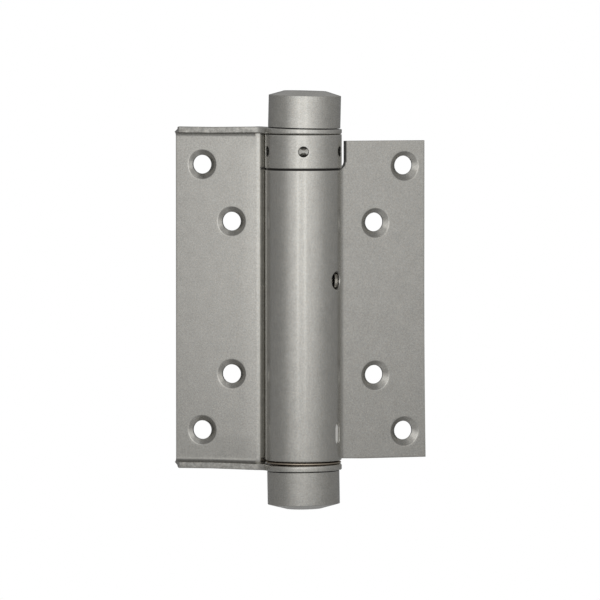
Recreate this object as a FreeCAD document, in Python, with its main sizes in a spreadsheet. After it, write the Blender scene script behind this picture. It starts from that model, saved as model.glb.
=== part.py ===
"""Single-action spring hinge, 125 mm size, with a round tension collar.

The origin lies on the pin's axis at half height, +Z runs up the pin. The frame
leaf lies along -X with its countersunk face towards -Y. The door leaf is drawn
along +X and then swung back about the pin to the angle at which it is shown.
Lengths are in millimetres, angles in degrees.
"""

import FreeCAD, Part
import math
import os

import Sketcher
from FreeCAD import Placement, Rotation, Vector

DRIVING_SIZES = {
    # Folded sheet that both leaves are made from
    "sheet_thickness": 2.2,
    "bend_inner_radius": 1.0,
    "face_setback": 0.75,
    # Frame leaf, its flanges and its round ears
    "frame_leaf_height": 125.0,
    "frame_leaf_reach": 49.05,
    "flange_reach": 4.5,
    "flange_corner_cut": 2.75,
    "flange_corner_drop": 2.0,
    "ear_overhang": 0.1,
    "ear_fillet_radius": 5.0,
    "frame_edge_gap": 0.5,
    "curl_outer_radius": 3.3,
    "curl_end_relief": 0.1,
    # Door leaf and the barrel rolled from it
    "barrel_diameter": 27.8,
    "barrel_bottom_gap": 1.4,
    "door_leaf_reach": 47.45,
    "door_leaf_top_gap": 2.8,
    "door_open_angle": 36.0,
    "root_inner_radius": 1.5,
    "seam_gap": 0.3,
    "notch_clearance": 2.7,
    "notch_corner_radius": 3.0,
    "barrel_hole_diameter": 6.2,
    "barrel_hole_level": 6.5,
    "barrel_hole_angle": -48.5,
    # Screw holes of both leaves
    "screw_hole_diameter": 6.7,
    "countersink_diameter": 10.7,
    "countersink_angle": 100.0,
    "screw_end_margin": 13.7,
    "screw_row_step": 20.8,
    "frame_outer_row_reach": 38.9,
    "frame_inner_row_reach": 27.6,
    "door_outer_row_reach": 39.4,
    "door_inner_row_reach": 28.0,
    # Tension collar
    "collar_step": 0.1,
    "collar_height": 12.25,
    "collar_top_gap": 0.3,
    "collar_bottom_gap": 0.6,
    "collar_edge_chamfer": 0.3,
    "collar_spigot_length": 9.6,
    "tommy_hole_diameter": 3.8,
    "tommy_hole_depth": 6.5,
    "tommy_hole_count": 5,
    "tommy_hole_angle": -74.0,
    # Pin, caps and washers
    "pin_diameter": 10.0,
    "pin_end_length": 9.5,
    "pin_end_chamfer": 0.6,
    "cap_step": 0.6,
    "cap_height": 13.8,
    "cap_flat_diameter": 13.8,
    "cap_cone_height": 2.1,
    "cap_rim_chamfer": 0.25,
    "thrust_washer_thickness": 1.1,
    "shim_recess": 0.5,
    # Lower spring plug and bushes
    "plug_height": 14.8,
    "bush_wall": 1.45,
    "bush_length": 12.0,
    "upper_bush_wall": 2.63,
    "upper_bush_length": 8.0,
    "key_width": 3.0,
    "key_height": 7.4,
    "key_rise": 10.1,
    "key_angle": -45.5,
    "key_slot_clearance": 0.15,
    "key_recess": 0.7,
    # Torsion spring and the noses that carry its ends
    "wire_size": 3.4,
    "coil_gap": 0.2,
    "spring_side_clearance": 0.6,
    "nose_clearance": 0.5,
    "nose_length": 8.0,
    "nose_bore_clearance": 0.4,
    "spring_start_angle": 100.0,
    # Fits, each the gap between two faces
    "running_clearance": 0.05,
    "press_clearance": 0.02,
    "end_clearance": 0.05,
    "spring_end_clearance": 0.1,
    "tang_clearance": 0.2,
    "washer_bore_clearance": 0.15,
}

document = FreeCAD.newDocument("spring_hinge")
sheet = document.addObject("Spreadsheet::Sheet", "Sizes")
for row, (alias, number) in enumerate(DRIVING_SIZES.items(), start=1):
    sheet.set(f"A{row}", alias.replace("_", " "))
    sheet.set(f"B{row}", str(number))
    sheet.setAlias(f"B{row}", alias)
document.recompute()


class Size:
    """A length or an angle that carries both its number and its formula in the sheet."""

    def __init__(self, number, formula):
        self.number = float(number)
        self.formula = formula

    def _join(self, other, sign, number):
        return Size(number, f"({self.formula} {sign} {as_size(other).formula})")

    def __add__(self, other):
        return self._join(other, "+", self.number + as_size(other).number)

    def __sub__(self, other):
        return self._join(other, "-", self.number - as_size(other).number)

    def __mul__(self, other):
        return self._join(other, "*", self.number * as_size(other).number)

    def __truediv__(self, other):
        return self._join(other, "/", self.number / as_size(other).number)

    def __neg__(self):
        return Size(-self.number, f"(0 - {self.formula})")


def as_size(value):
    """A plain number becomes a size without a cell of its own."""
    if isinstance(value, Size):
        return value
    return Size(value, repr(float(value)))


def size(alias):
    """The driving size of that name."""
    return Size(float(sheet.get(alias)), f"Sizes.{alias}")


def root(value):
    """Square root of a size."""
    return Size(math.sqrt(value.number), f"sqrt({value.formula})")


def within_turn(angle):
    """The same direction with whole turns taken off."""
    return Size(math.fmod(angle.number, 360), f"mod({angle.formula}; 360)")


def bind(item, name, value):
    """Ties a property of an object to its formula."""
    item.setExpression(name, value.formula)


# Sizes that follow from the driving ones
thickness = size("sheet_thickness")
half_height = size("frame_leaf_height") / 2
ear_inner_level = half_height - thickness
bend_outer_radius = size("bend_inner_radius") + thickness
face_level = size("face_setback")
back_level = face_level + thickness
flange_front = face_level - size("flange_reach")

barrel_radius = size("barrel_diameter") / 2
barrel_bore_radius = barrel_radius - thickness
collar_radius = barrel_radius - size("collar_step")
cap_radius = barrel_radius - size("cap_step")
ear_radius = barrel_radius + size("ear_overhang")
outer_row_spacing = size("frame_leaf_height") - size("screw_end_margin") * 2
inner_row_spacing = outer_row_spacing - size("screw_row_step") * 2
collar_top = ear_inner_level - size("collar_top_gap")
collar_bottom = collar_top - size("collar_height")
barrel_top = collar_bottom - size("collar_bottom_gap")
barrel_bottom = size("barrel_bottom_gap") - ear_inner_level
door_leaf_top = ear_inner_level - size("door_leaf_top_gap")
door_leaf_middle = (door_leaf_top + barrel_bottom) / 2
curl_root = barrel_radius + size("frame_edge_gap") + size("curl_outer_radius")

pin_radius = size("pin_diameter") / 2
running_bore_radius = pin_radius + size("running_clearance")
pin_tip = half_height + size("pin_end_length")

washer_bottom = size("end_clearance") - ear_inner_level
washer_top = washer_bottom + size("thrust_washer_thickness")
washer_bore_radius = pin_radius + size("washer_bore_clearance")
plug_bottom = washer_top + size("end_clearance")
pressed_radius = barrel_bore_radius - size("press_clearance")
plug_top = plug_bottom + size("plug_height")
key_level = plug_bottom + size("key_rise")
bush_radius = running_bore_radius + size("bush_wall")

spigot_radius = pressed_radius - size("upper_bush_wall") - size("running_clearance")
spigot_bottom = collar_bottom - size("collar_spigot_length")
coil_outer_radius = barrel_bore_radius - size("spring_side_clearance")
coil_inner_radius = coil_outer_radius - size("wire_size")
nose_radius = coil_inner_radius - size("nose_clearance")
nose_bore_radius = pin_radius + size("nose_bore_clearance")
coil_bottom = plug_top + size("spring_end_clearance")
coil_top = spigot_bottom - size("spring_end_clearance")
coil_pitch = size("wire_size") + size("coil_gap")
coil_travel = coil_top - coil_bottom - size("wire_size")
tang_slot_width = size("wire_size") + size("tang_clearance") * 2
tang_tip_radius = nose_bore_radius + size("tang_clearance")
spring_lower_angle = size("door_open_angle") + size("spring_start_angle")
spring_upper_angle = within_turn(spring_lower_angle - coil_travel / coil_pitch * 360)


def make_body(label, angle=None):
    """An empty body. The angle, if given, turns it about the pin's axis."""
    body = document.addObject("PartDesign::Body", label)
    body.Label = label
    if angle is not None:
        body.Placement = Placement(Vector(), Rotation(Vector(0, 0, 1), angle.number))
        bind(body, "Placement.Rotation.Angle", angle)
    return body


def origin_item(body, role):
    """The body's own origin plane or axis with that role."""
    return next(item for item in body.Origin.OriginFeatures if item.Role == role)


def make_sketch(body, name, plane, offset=None, turn=None, turn_axis=(0, 0, 1)):
    """A sketch on an origin plane, moved along its normal and turned about its own axis."""
    sketch = body.newObject("Sketcher::SketchObject", name)
    sketch.AttachmentSupport = [(origin_item(body, plane), "")]
    sketch.MapMode = "FlatFace"
    shift = Vector(0, 0, offset.number if offset is not None else 0)
    rotation = Rotation(Vector(*turn_axis), turn.number if turn is not None else 0)
    sketch.AttachmentOffset = Placement(shift, rotation)
    if offset is not None:
        bind(sketch, "AttachmentOffset.Base.z", offset)
    if turn is not None:
        bind(sketch, "AttachmentOffset.Rotation.Angle", turn)
    return sketch


def name_last(sketch, name, value):
    """Names the newest constraint and ties it to its formula."""
    sketch.renameConstraint(sketch.ConstraintCount - 1, name)
    bind(sketch, f"Constraints.{name}", value)


def fix_point(sketch, edge, end, x, y, name):
    """Holds one end of an edge at a place given by two sizes."""
    for letter, kind, axis, value in (("x", "DistanceX", -2, x), ("y", "DistanceY", -1, y)):
        value = as_size(value)
        if value.formula == "0.0":
            sketch.addConstraint(Sketcher.Constraint("PointOnObject", edge, end, axis))
            continue
        sketch.addConstraint(Sketcher.Constraint(kind, -1, 1, edge, end, value.number))
        name_last(sketch, f"{name}_{letter}", value)


def line(x, y):
    """A straight edge to the point."""
    return (as_size(x), as_size(y), None)


def arc(x, y, centre_x, centre_y, radius, turn):
    """A round edge to the point, with turn +1 to the left and -1 to the right."""
    centre = Vector(as_size(centre_x).number, as_size(centre_y).number, 0)
    return (as_size(x), as_size(y), (centre, radius, turn))


def draw_outline(sketch, edges):
    """Closes a chain of edges, each given by its end, and ties every corner to the sheet."""
    count = len(edges)
    ends = [Vector(x.number, y.number, 0) for x, y, _ in edges]
    first_end, last_end = [], []
    for number, (_, _, bow) in enumerate(edges):
        start, end = ends[number - 1], ends[number]
        if bow is None:
            sketch.addGeometry(Part.LineSegment(start, end))
            first_end.append(1)
            last_end.append(2)
            continue
        centre, radius, turn = bow
        angles = [math.atan2(point.y - centre.y, point.x - centre.x) for point in (start, end)]
        if turn < 0:
            angles.reverse()
        while angles[1] <= angles[0]:
            angles[1] += 2 * math.pi
        circle = Part.Circle(centre, Vector(0, 0, 1), radius.number)
        sketch.addGeometry(Part.ArcOfCircle(circle, angles[0], angles[1]))
        first_end.append(1 if turn > 0 else 2)
        last_end.append(2 if turn > 0 else 1)
    for number in range(count):
        following = (number + 1) % count
        sketch.addConstraint(
            Sketcher.Constraint(
                "Coincident", number, last_end[number], following, first_end[following]
            )
        )
    for number, (x, y, bow) in enumerate(edges):
        fix_point(sketch, number, last_end[number], x, y, f"corner_{number}")
        if bow is not None:
            sketch.addConstraint(Sketcher.Constraint("Radius", number, bow[1].number))
            name_last(sketch, f"radius_{number}", bow[1])


def draw_circle(sketch, x, y, radius, number=0):
    """One circle whose centre and radius are tied to the sheet."""
    centre = Vector(as_size(x).number, as_size(y).number, 0)
    sketch.addGeometry(Part.Circle(centre, Vector(0, 0, 1), radius.number))
    fix_point(sketch, number, 3, x, y, f"centre_{number}")
    sketch.addConstraint(Sketcher.Constraint("Radius", number, radius.number))
    name_last(sketch, f"radius_{number}", radius)


def rectangle(left, right, low, high):
    """The four edges of an upright rectangle."""
    return [line(right, low), line(right, high), line(left, high), line(left, low)]


def pad(body, name, sketch, length, both_ways=False):
    """Adds the sketch's area over a length along its normal."""
    feature = body.newObject("PartDesign::Pad", name)
    feature.Profile = sketch
    feature.SideType = "Symmetric" if both_ways else "One side"
    feature.Length = length.number
    bind(feature, "Length", length)
    document.recompute()
    return feature


def pocket(body, name, sketch, length, both_ways=False, along_normal=False):
    """Cuts the sketch's area over a length, and makes sure that it did cut."""
    before = body.Shape.Volume
    feature = body.newObject("PartDesign::Pocket", name)
    feature.Profile = sketch
    feature.SideType = "Symmetric" if both_ways else "One side"
    feature.Reversed = along_normal
    feature.Length = length.number
    bind(feature, "Length", length)
    document.recompute()
    if feature.Shape.Volume >= before:
        raise RuntimeError(f"{body.Label}: {name} cut nothing")
    return feature


def turned_body(label, edges, angle=None):
    """A turned piece: its half section, radius by height, carried round the pin's axis."""
    body = make_body(label, angle)
    sketch = make_sketch(body, f"{label}_section", "XZ_Plane")
    draw_outline(sketch, edges)
    feature = body.newObject("PartDesign::Revolution", f"{label}_turned")
    feature.Profile = sketch
    feature.ReferenceAxis = (sketch, ["V_Axis"])
    feature.Angle = 360
    document.recompute()
    return body


def ring(label, bore_radius, outer_radius, bottom, top, angle=None):
    """A plain washer or bush."""
    return turned_body(label, rectangle(bore_radius, outer_radius, bottom, top), angle)


def radial_turn(angle):
    """How far the upright XZ plane turns for its normal to point in that direction."""
    return angle + 90


def drill_screw_holes(body, side, outer_reach, inner_reach, middle):
    """Four countersunk holes, two far from the pin and two near it, from the front face."""
    sketch = make_sketch(body, f"{body.Label}_screw_centres", "XZ_Plane", -face_level)
    rows = ((outer_reach, outer_row_spacing), (inner_reach, inner_row_spacing))
    places = [(reach, spacing / 2 * way) for reach, spacing in rows for way in (1, -1)]
    for number, (reach, height) in enumerate(places):
        x = reach * side
        draw_circle(sketch, x, middle + height, size("screw_hole_diameter") / 2, number)
    document.recompute()
    before = body.Shape.Volume
    feature = body.newObject("PartDesign::Hole", f"{body.Label}_screw_holes")
    feature.Profile = sketch
    document.recompute()
    feature.DepthType = "ThroughAll"
    feature.HoleCutType = "Countersink"
    feature.HoleCutCustomValues = True
    bind(feature, "Diameter", size("screw_hole_diameter"))
    bind(feature, "HoleCutDiameter", size("countersink_diameter"))
    bind(feature, "HoleCutCountersinkAngle", size("countersink_angle"))
    document.recompute()
    if feature.Shape.Volume >= before:
        raise RuntimeError(f"{body.Label}: the screw holes cut nothing")


def make_frame_leaf():
    """One folded sheet: a plate with a flange at each end that becomes a round ear."""
    body = make_body("frame_leaf")
    reach = size("frame_leaf_reach")
    inner = size("bend_inner_radius")
    bend_level = ear_inner_level - inner
    bend_line = face_level - inner

    # Plate, bends and flanges: a C section carried along X, up to where the edge curls back
    section = make_sketch(body, "folded_section", "YZ_Plane", -reach)
    draw_outline(
        section,
        [
            line(flange_front, half_height),
            line(flange_front, ear_inner_level),
            line(bend_line, ear_inner_level),
            arc(face_level, bend_level, bend_line, bend_level, inner, -1),
            line(face_level, -bend_level),
            arc(bend_line, -ear_inner_level, bend_line, -bend_level, inner, -1),
            line(flange_front, -ear_inner_level),
            line(flange_front, -half_height),
            line(bend_line, -half_height),
            arc(back_level, -bend_level, bend_line, -bend_level, bend_outer_radius, 1),
            line(back_level, bend_level),
            arc(bend_line, half_height, bend_line, bend_level, bend_outer_radius, 1),
        ],
    )
    pad(body, "folded_plate", section, reach - curl_root)

    # Both ears at once: the flange's root, a hollow fillet and the round ear about the pin
    fillet = size("ear_fillet_radius")
    fillet_y = flange_front - fillet
    fillet_x = -root((ear_radius + fillet) * (ear_radius + fillet) - fillet_y * fillet_y)
    share = ear_radius / (ear_radius + fillet)
    back_x = -root(ear_radius * ear_radius - back_level * back_level)
    ear_start = fillet_x - thickness
    ears = make_sketch(body, "ear_outline", "XY_Plane")
    draw_outline(
        ears,
        [
            line(ear_start, flange_front),
            line(fillet_x, flange_front),
            arc(fillet_x * share, fillet_y * share, fillet_x, fillet_y, fillet, -1),
            arc(back_x, back_level, 0, 0, ear_radius, 1),
            line(-curl_root, back_level),
            line(-curl_root, bend_line),
            line(ear_start, bend_line),
        ],
    )
    pad(body, "ear_blocks", ears, size("frame_leaf_height"), both_ways=True)
    window = make_sketch(body, "window_outline", "YZ_Plane", -curl_root)
    far = ear_radius + thickness
    draw_outline(window, rectangle(-far, far, -ear_inner_level, ear_inner_level))
    pocket(body, "window", window, curl_root + far, along_normal=True)
    under = make_sketch(body, "flange_underside", "YZ_Plane", ear_start - thickness)
    draw_outline(under, rectangle(-far, bend_line, -ear_inner_level, ear_inner_level))
    pocket(body, "flange_gap", under, thickness * 2 + curl_root, along_normal=True)

    # Inner edge of the plate, curled back beside the barrel
    outer_curl = size("curl_outer_radius")
    inner_curl = outer_curl - thickness
    curl_end = face_level + outer_curl
    curl = make_sketch(body, "curl_section", "XY_Plane")
    curl_length = (ear_inner_level - size("curl_end_relief")) * 2
    draw_outline(
        curl,
        [
            line(-curl_root, face_level),
            arc(outer_curl - curl_root, curl_end, -curl_root, curl_end, outer_curl, 1),
            line(inner_curl - curl_root, curl_end),
            arc(-curl_root, back_level, -curl_root, curl_end, inner_curl, -1),
        ],
    )
    pad(body, "curled_edge", curl, curl_length, both_ways=True)

    # Outer ends of the flanges: a slant in plan, and the same cut seen from the front
    slant = make_sketch(body, "slant_outline", "XY_Plane")
    outside = -reach - thickness
    draw_outline(
        slant,
        [
            line(size("flange_corner_cut") - reach, flange_front),
            line(-reach, bend_line),
            line(outside, bend_line),
            line(outside, flange_front - thickness),
            line(size("flange_corner_cut") - reach, flange_front - thickness),
        ],
    )
    pocket(body, "slant_cut", slant, size("frame_leaf_height") + thickness, both_ways=True)
    drop = size("flange_corner_drop")
    for name, way in (("top", 1), ("bottom", -1)):
        corner = make_sketch(body, f"{name}_corner_outline", "XZ_Plane")
        draw_outline(
            corner,
            [
                line(-reach, (half_height - drop) * way),
                line(drop - reach, half_height * way),
                line(outside, half_height * way),
            ],
        )
        pocket(body, f"{name}_corner_cut", corner, far * 2, both_ways=True)

    bore = make_sketch(body, "pin_bore_outline", "XY_Plane")
    draw_circle(bore, 0, 0, running_bore_radius)
    pocket(body, "pin_bores", bore, size("frame_leaf_height") + thickness, both_ways=True)
    drill_screw_holes(
        body, -1, size("frame_outer_row_reach"), size("frame_inner_row_reach"), as_size(0)
    )
    return body


def key_outline(margin):
    """Upright outline with round ends: the spring plug's key, or with a margin its slot."""
    half_width = size("key_width") / 2 + margin
    top = key_level + size("key_height") / 2 + margin - half_width
    bottom = key_level * 2 - top
    return [
        line(half_width, top),
        arc(0, top + half_width, 0, top, half_width, 1),
        arc(-half_width, top, 0, top, half_width, 1),
        line(-half_width, bottom),
        arc(0, bottom - half_width, 0, bottom, half_width, 1),
        arc(half_width, bottom, 0, bottom, half_width, 1),
    ]


def make_door_leaf():
    """One sheet rolled round into the barrel, with the leaf leaving it towards +X."""
    body = make_body("door_leaf", size("door_open_angle"))
    reach = size("door_leaf_reach")
    hollow = size("root_inner_radius")
    root_outer = hollow + thickness

    # The leaf's front face runs into the barrel through a hollow bend about this centre
    bend_y = face_level - hollow
    bend_x = root((barrel_radius + hollow) * (barrel_radius + hollow) - bend_y * bend_y)
    share = barrel_radius / (barrel_radius + hollow)
    inner_share = barrel_bore_radius / (barrel_radius + hollow)

    # The rolled end stops a seam's width short of the back of that bend
    seam_y = back_level - size("seam_gap") * 2
    seam_inner_x = root(barrel_bore_radius * barrel_bore_radius - seam_y * seam_y)
    seam_outer_y = seam_y + size("seam_gap")
    seam_outer_x = root(barrel_radius * barrel_radius - seam_outer_y * seam_outer_y)

    section = make_sketch(body, "rolled_section", "XY_Plane", barrel_bottom)
    draw_outline(
        section,
        [
            line(reach, face_level),
            line(reach, back_level),
            line(bend_x, back_level),
            arc(bend_x * inner_share, bend_y * inner_share, bend_x, bend_y, root_outer, 1),
            arc(seam_inner_x, seam_y, 0, 0, barrel_bore_radius, -1),
            line(seam_outer_x, seam_outer_y),
            arc(bend_x * share, bend_y * share, 0, 0, barrel_radius, 1),
            arc(bend_x, face_level, bend_x, bend_y, hollow, -1),
        ],
    )
    pad(body, "rolled_sheet", section, door_leaf_top - barrel_bottom)

    # Notch at the top that clears the tension collar, with a rounded inner corner
    notch = make_sketch(body, "notch_outline", "XZ_Plane")
    notch_x = collar_radius + size("notch_clearance")
    corner = size("notch_corner_radius")
    above = door_leaf_top + thickness
    beyond = -barrel_radius - thickness
    draw_outline(
        notch,
        [
            line(notch_x - corner, barrel_top),
            arc(notch_x, barrel_top + corner, notch_x - corner, barrel_top + corner, corner, 1),
            line(notch_x, above),
            line(beyond, above),
            line(beyond, barrel_top),
        ],
    )
    pocket(body, "collar_notch", notch, size("barrel_diameter") * 2, both_ways=True)

    # Round hole through the barrel's wall at half height
    hole_turn = radial_turn(size("barrel_hole_angle"))
    hole = make_sketch(
        body, "wall_hole_outline", "XZ_Plane", turn=hole_turn, turn_axis=(0, 1, 0)
    )
    draw_circle(hole, 0, size("barrel_hole_level"), size("barrel_hole_diameter") / 2)
    pocket(body, "wall_hole", hole, size("barrel_diameter"), along_normal=True)

    # Slot with round ends for the key of the lower spring plug
    slot_turn = radial_turn(size("key_angle"))
    slot = make_sketch(
        body, "slot_outline", "XZ_Plane", turn=slot_turn, turn_axis=(0, 1, 0)
    )
    draw_outline(slot, key_outline(size("key_slot_clearance")))
    pocket(body, "key_slot", slot, size("barrel_diameter"), along_normal=True)
    drill_screw_holes(
        body, 1, size("door_outer_row_reach"), size("door_inner_row_reach"), door_leaf_middle
    )
    return body


def cut_tang_slot(body, angle, bottom, top):
    """An open slot in a spring nose, from the pin outwards, that takes the wire's end."""
    sketch = make_sketch(body, f"{body.Label}_tang_slot_outline", "XY_Plane", bottom, angle)
    half_width = tang_slot_width / 2
    draw_outline(sketch, rectangle(0, coil_inner_radius, -half_width, half_width))
    pocket(body, f"{body.Label}_tang_slot", sketch, top - bottom, along_normal=True)


def make_tension_collar():
    """Collar with five blind holes, the spigot that guides the barrel and the spring's nose."""
    chamfer = size("collar_edge_chamfer")
    nose_bottom = spigot_bottom - size("nose_length")
    body = turned_body(
        "tension_collar",
        [
            line(running_bore_radius, collar_top),
            line(running_bore_radius, spigot_bottom),
            line(nose_bore_radius, spigot_bottom),
            line(nose_bore_radius, nose_bottom),
            line(nose_radius, nose_bottom),
            line(nose_radius, spigot_bottom),
            line(spigot_radius, spigot_bottom),
            line(spigot_radius, collar_bottom),
            line(collar_radius - chamfer, collar_bottom),
            line(collar_radius, collar_bottom + chamfer),
            line(collar_radius, collar_top - chamfer),
            line(collar_radius - chamfer, collar_top),
        ],
        radial_turn(size("tommy_hole_angle")),
    )
    hole = make_sketch(
        body, "tommy_hole_outline", "XZ_Plane", collar_radius - size("tommy_hole_depth")
    )
    middle = (collar_top + collar_bottom) / 2
    draw_circle(hole, 0, middle, size("tommy_hole_diameter") / 2)
    first = pocket(body, "tommy_hole", hole, collar_radius, along_normal=True)
    pattern = body.newObject("PartDesign::PolarPattern", "tommy_holes")
    pattern.Originals = [first]
    pattern.Axis = (origin_item(body, "Z_Axis"), [""])
    pattern.Angle = 360
    bind(pattern, "Occurrences", size("tommy_hole_count"))
    body.Tip = pattern
    document.recompute()
    slot_angle = within_turn(spring_upper_angle - radial_turn(size("tommy_hole_angle")))
    cut_tang_slot(body, slot_angle, nose_bottom, spigot_bottom)
    return body


def make_spring_plug():
    """Plug pressed into the barrel's lower end, keyed to its wall, with the spring's nose."""
    nose_top = plug_top + size("nose_length")
    seat_radius = bush_radius + size("press_clearance")
    body = turned_body(
        "spring_plug",
        [
            line(pressed_radius, plug_bottom),
            line(pressed_radius, plug_top),
            line(nose_radius, plug_top),
            line(nose_radius, nose_top),
            line(0, nose_top),
            line(0, plug_bottom),
        ],
        size("door_open_angle"),
    )
    key_turn = radial_turn(size("key_angle"))
    key = make_sketch(body, "key_face", "XZ_Plane", turn=key_turn, turn_axis=(0, 1, 0))
    draw_outline(key, key_outline(as_size(0)))
    pad(body, "key", key, barrel_radius - size("key_recess"))
    seat = make_sketch(body, "seat_outline", "XY_Plane", plug_bottom)
    draw_circle(seat, 0, 0, seat_radius)
    pocket(body, "bush_seat", seat, size("bush_length"), along_normal=True)
    passage = make_sketch(body, "passage_outline", "XY_Plane", plug_bottom)
    draw_circle(passage, 0, 0, nose_bore_radius)
    pocket(body, "pin_passage", passage, nose_top - plug_bottom, along_normal=True)
    cut_tang_slot(body, size("spring_start_angle"), plug_top, nose_top)
    return body


def make_torsion_spring():
    """Left-hand spring of square wire, both ends bent in towards the pin."""
    wire = size("wire_size")
    body = make_body("torsion_spring", spring_lower_angle)
    profile = make_sketch(body, "wire_section", "XZ_Plane")
    draw_outline(
        profile,
        rectangle(coil_inner_radius, coil_outer_radius, coil_bottom, coil_bottom + wire),
    )
    document.recompute()
    coil = body.newObject("PartDesign::AdditiveHelix", "coils")
    coil.Profile = profile
    coil.ReferenceAxis = (profile, ["V_Axis"])
    coil.Mode = "pitch-height-angle"
    coil.LeftHanded = True
    bind(coil, "Pitch", coil_pitch)
    bind(coil, "Height", coil_travel)
    document.recompute()
    if not coil.Shape.isValid():
        raise RuntimeError("torsion_spring: the coils aren't a valid solid")
    coil_turn = within_turn(-(coil_travel / coil_pitch * 360))
    for name, bottom, turn in (
        ("lower_tang", coil_bottom, None),
        ("upper_tang", coil_bottom + coil_travel, coil_turn),
    ):
        tang = make_sketch(body, f"{name}_outline", "XY_Plane", bottom, turn)
        draw_outline(tang, rectangle(tang_tip_radius, coil_outer_radius, -wire / 2, wire / 2))
        pad(body, name, tang, wire)
    return body


def make_cap(label, way):
    """Round end cap with a coned edge and a blind bore for the pin, way +1 up or -1 down."""
    base = half_height + size("end_clearance")
    face = base + size("cap_height")
    rim = size("cap_rim_chamfer")
    bore = pin_radius + size("press_clearance")
    bore_end = pin_tip + size("end_clearance")
    return turned_body(
        label,
        [
            line(bore, base * way),
            line(cap_radius - rim, base * way),
            line(cap_radius, (base + rim) * way),
            line(cap_radius, (face - size("cap_cone_height")) * way),
            line(size("cap_flat_diameter") / 2, face * way),
            line(0, face * way),
            line(0, bore_end * way),
            line(bore, bore_end * way),
        ],
    )


def make_pin():
    """The straight pin that runs through both ears into the caps."""
    bevel = size("pin_end_chamfer")
    return turned_body(
        "hinge_pin",
        [
            line(0, -pin_tip),
            line(pin_radius - bevel, -pin_tip),
            line(pin_radius, bevel - pin_tip),
            line(pin_radius, pin_tip - bevel),
            line(pin_radius - bevel, pin_tip),
            line(0, pin_tip),
        ],
    )


def make_rings():
    """Washers, shims and bushes between the parts that turn and those that don't."""
    gap = size("end_clearance")
    shim_radius = collar_radius - size("shim_recess")
    door_angle = size("door_open_angle")
    return [
        ring("thrust_washer", washer_bore_radius, collar_radius, washer_bottom, washer_top),
        ring(
            "plug_bush",
            running_bore_radius,
            bush_radius,
            plug_bottom,
            plug_bottom + size("bush_length"),
            door_angle,
        ),
        ring(
            "barrel_bush",
            spigot_radius + size("running_clearance"),
            pressed_radius,
            barrel_top - size("upper_bush_length"),
            barrel_top,
            door_angle,
        ),
        ring(
            "lower_collar_shim",
            spigot_radius + size("washer_bore_clearance"),
            shim_radius,
            barrel_top + gap,
            collar_bottom - gap,
        ),
        ring(
            "upper_collar_shim",
            washer_bore_radius,
            shim_radius,
            collar_top + gap,
            ear_inner_level - gap,
        ),
    ]


def check_document():
    """Stops the build if any object failed or any piece isn't one valid solid."""
    document.recompute()
    for item in document.Objects:
        if "Invalid" in item.State or "Error" in item.State:
            raise RuntimeError(f"{item.Label} is in state {item.State}")
    for piece in pieces:
        shape = piece.Shape
        if shape.isNull() or not shape.isValid() or len(shape.Solids) != 1:
            raise RuntimeError(f"{piece.Label} isn't one valid solid")


pieces = [
    make_frame_leaf(),
    make_door_leaf(),
    make_tension_collar(),
    make_spring_plug(),
    make_torsion_spring(),
    make_pin(),
    make_cap("top_cap", 1),
    make_cap("bottom_cap", -1),
    *make_rings(),
]
check_document()
os.makedirs("parts", exist_ok=True)
for piece in pieces:
    piece.Shape.exportStep(os.path.join("parts", f"{piece.Label}.step"))
    print(f"{piece.Label}: {piece.Shape.Volume / 1000:.3f} cubic centimetres")
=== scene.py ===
"""Looks of a single-action spring hinge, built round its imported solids.

The origin lies on the pin's axis at half height, +Z runs up the pin and the frame leaf
lies along -X with its countersunk face towards -Y. Lengths are in millimetres until a
mesh is made, and angles are in degrees unless a name says otherwise.
"""

import logging
import math
from collections.abc import Callable
from dataclasses import dataclass, field
from enum import Enum

import bmesh
import bpy
import numpy as np
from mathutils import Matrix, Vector


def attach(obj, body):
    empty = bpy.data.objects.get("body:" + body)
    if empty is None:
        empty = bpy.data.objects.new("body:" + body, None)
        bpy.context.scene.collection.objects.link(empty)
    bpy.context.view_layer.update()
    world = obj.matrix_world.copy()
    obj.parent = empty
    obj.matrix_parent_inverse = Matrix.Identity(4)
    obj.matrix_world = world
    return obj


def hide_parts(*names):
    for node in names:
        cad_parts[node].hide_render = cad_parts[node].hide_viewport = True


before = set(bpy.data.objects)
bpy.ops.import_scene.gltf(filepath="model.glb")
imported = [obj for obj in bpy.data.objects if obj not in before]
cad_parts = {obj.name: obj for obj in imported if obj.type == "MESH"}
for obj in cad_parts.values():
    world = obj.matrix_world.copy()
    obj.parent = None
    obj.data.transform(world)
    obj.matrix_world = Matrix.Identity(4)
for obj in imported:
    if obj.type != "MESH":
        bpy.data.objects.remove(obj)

Array = np.ndarray
Fold = Callable[[Array, Array, Array], Array]
Term = bpy.types.NodeSocket | float | tuple[float, ...]
log = logging.getLogger("hinge")

MM = 0.001
PIXELS = 600

# How finely the leaves are laid out: widest gap between two grid lines, the same round the
# barrel, gap between an edge and the first line, the same on the narrow flanges, and how
# near counts as on a line.
GRID = 0.8
BARREL_GRID = 0.75
MARGIN = 0.7
NARROW_MARGIN = 0.6
NEAR = 0.01

# Decimals that welded points share, the angle past which an edge stays crisp, and the
# steps round a turned piece.
WELD_DIGITS = 4
SHARP_ANGLE = 38.0
ROUND_STEPS = 144


class Body(Enum):
    """The moving bodies that a piece can ride on."""

    FRAME_SIDE = "frame_side"
    DOOR_SIDE = "door_side"
    COLLAR = "collar"


class Slot(Enum):
    """The record's finishes."""

    SILVER_PAINT = "silver_paint"
    BRIGHT_STEEL = "bright_steel"
    SPRING_STEEL = "spring_steel"
    BRASS = "brass"
    BRONZE = "bronze"


# ---------------------------------------------------------------- lines and profiles


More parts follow.
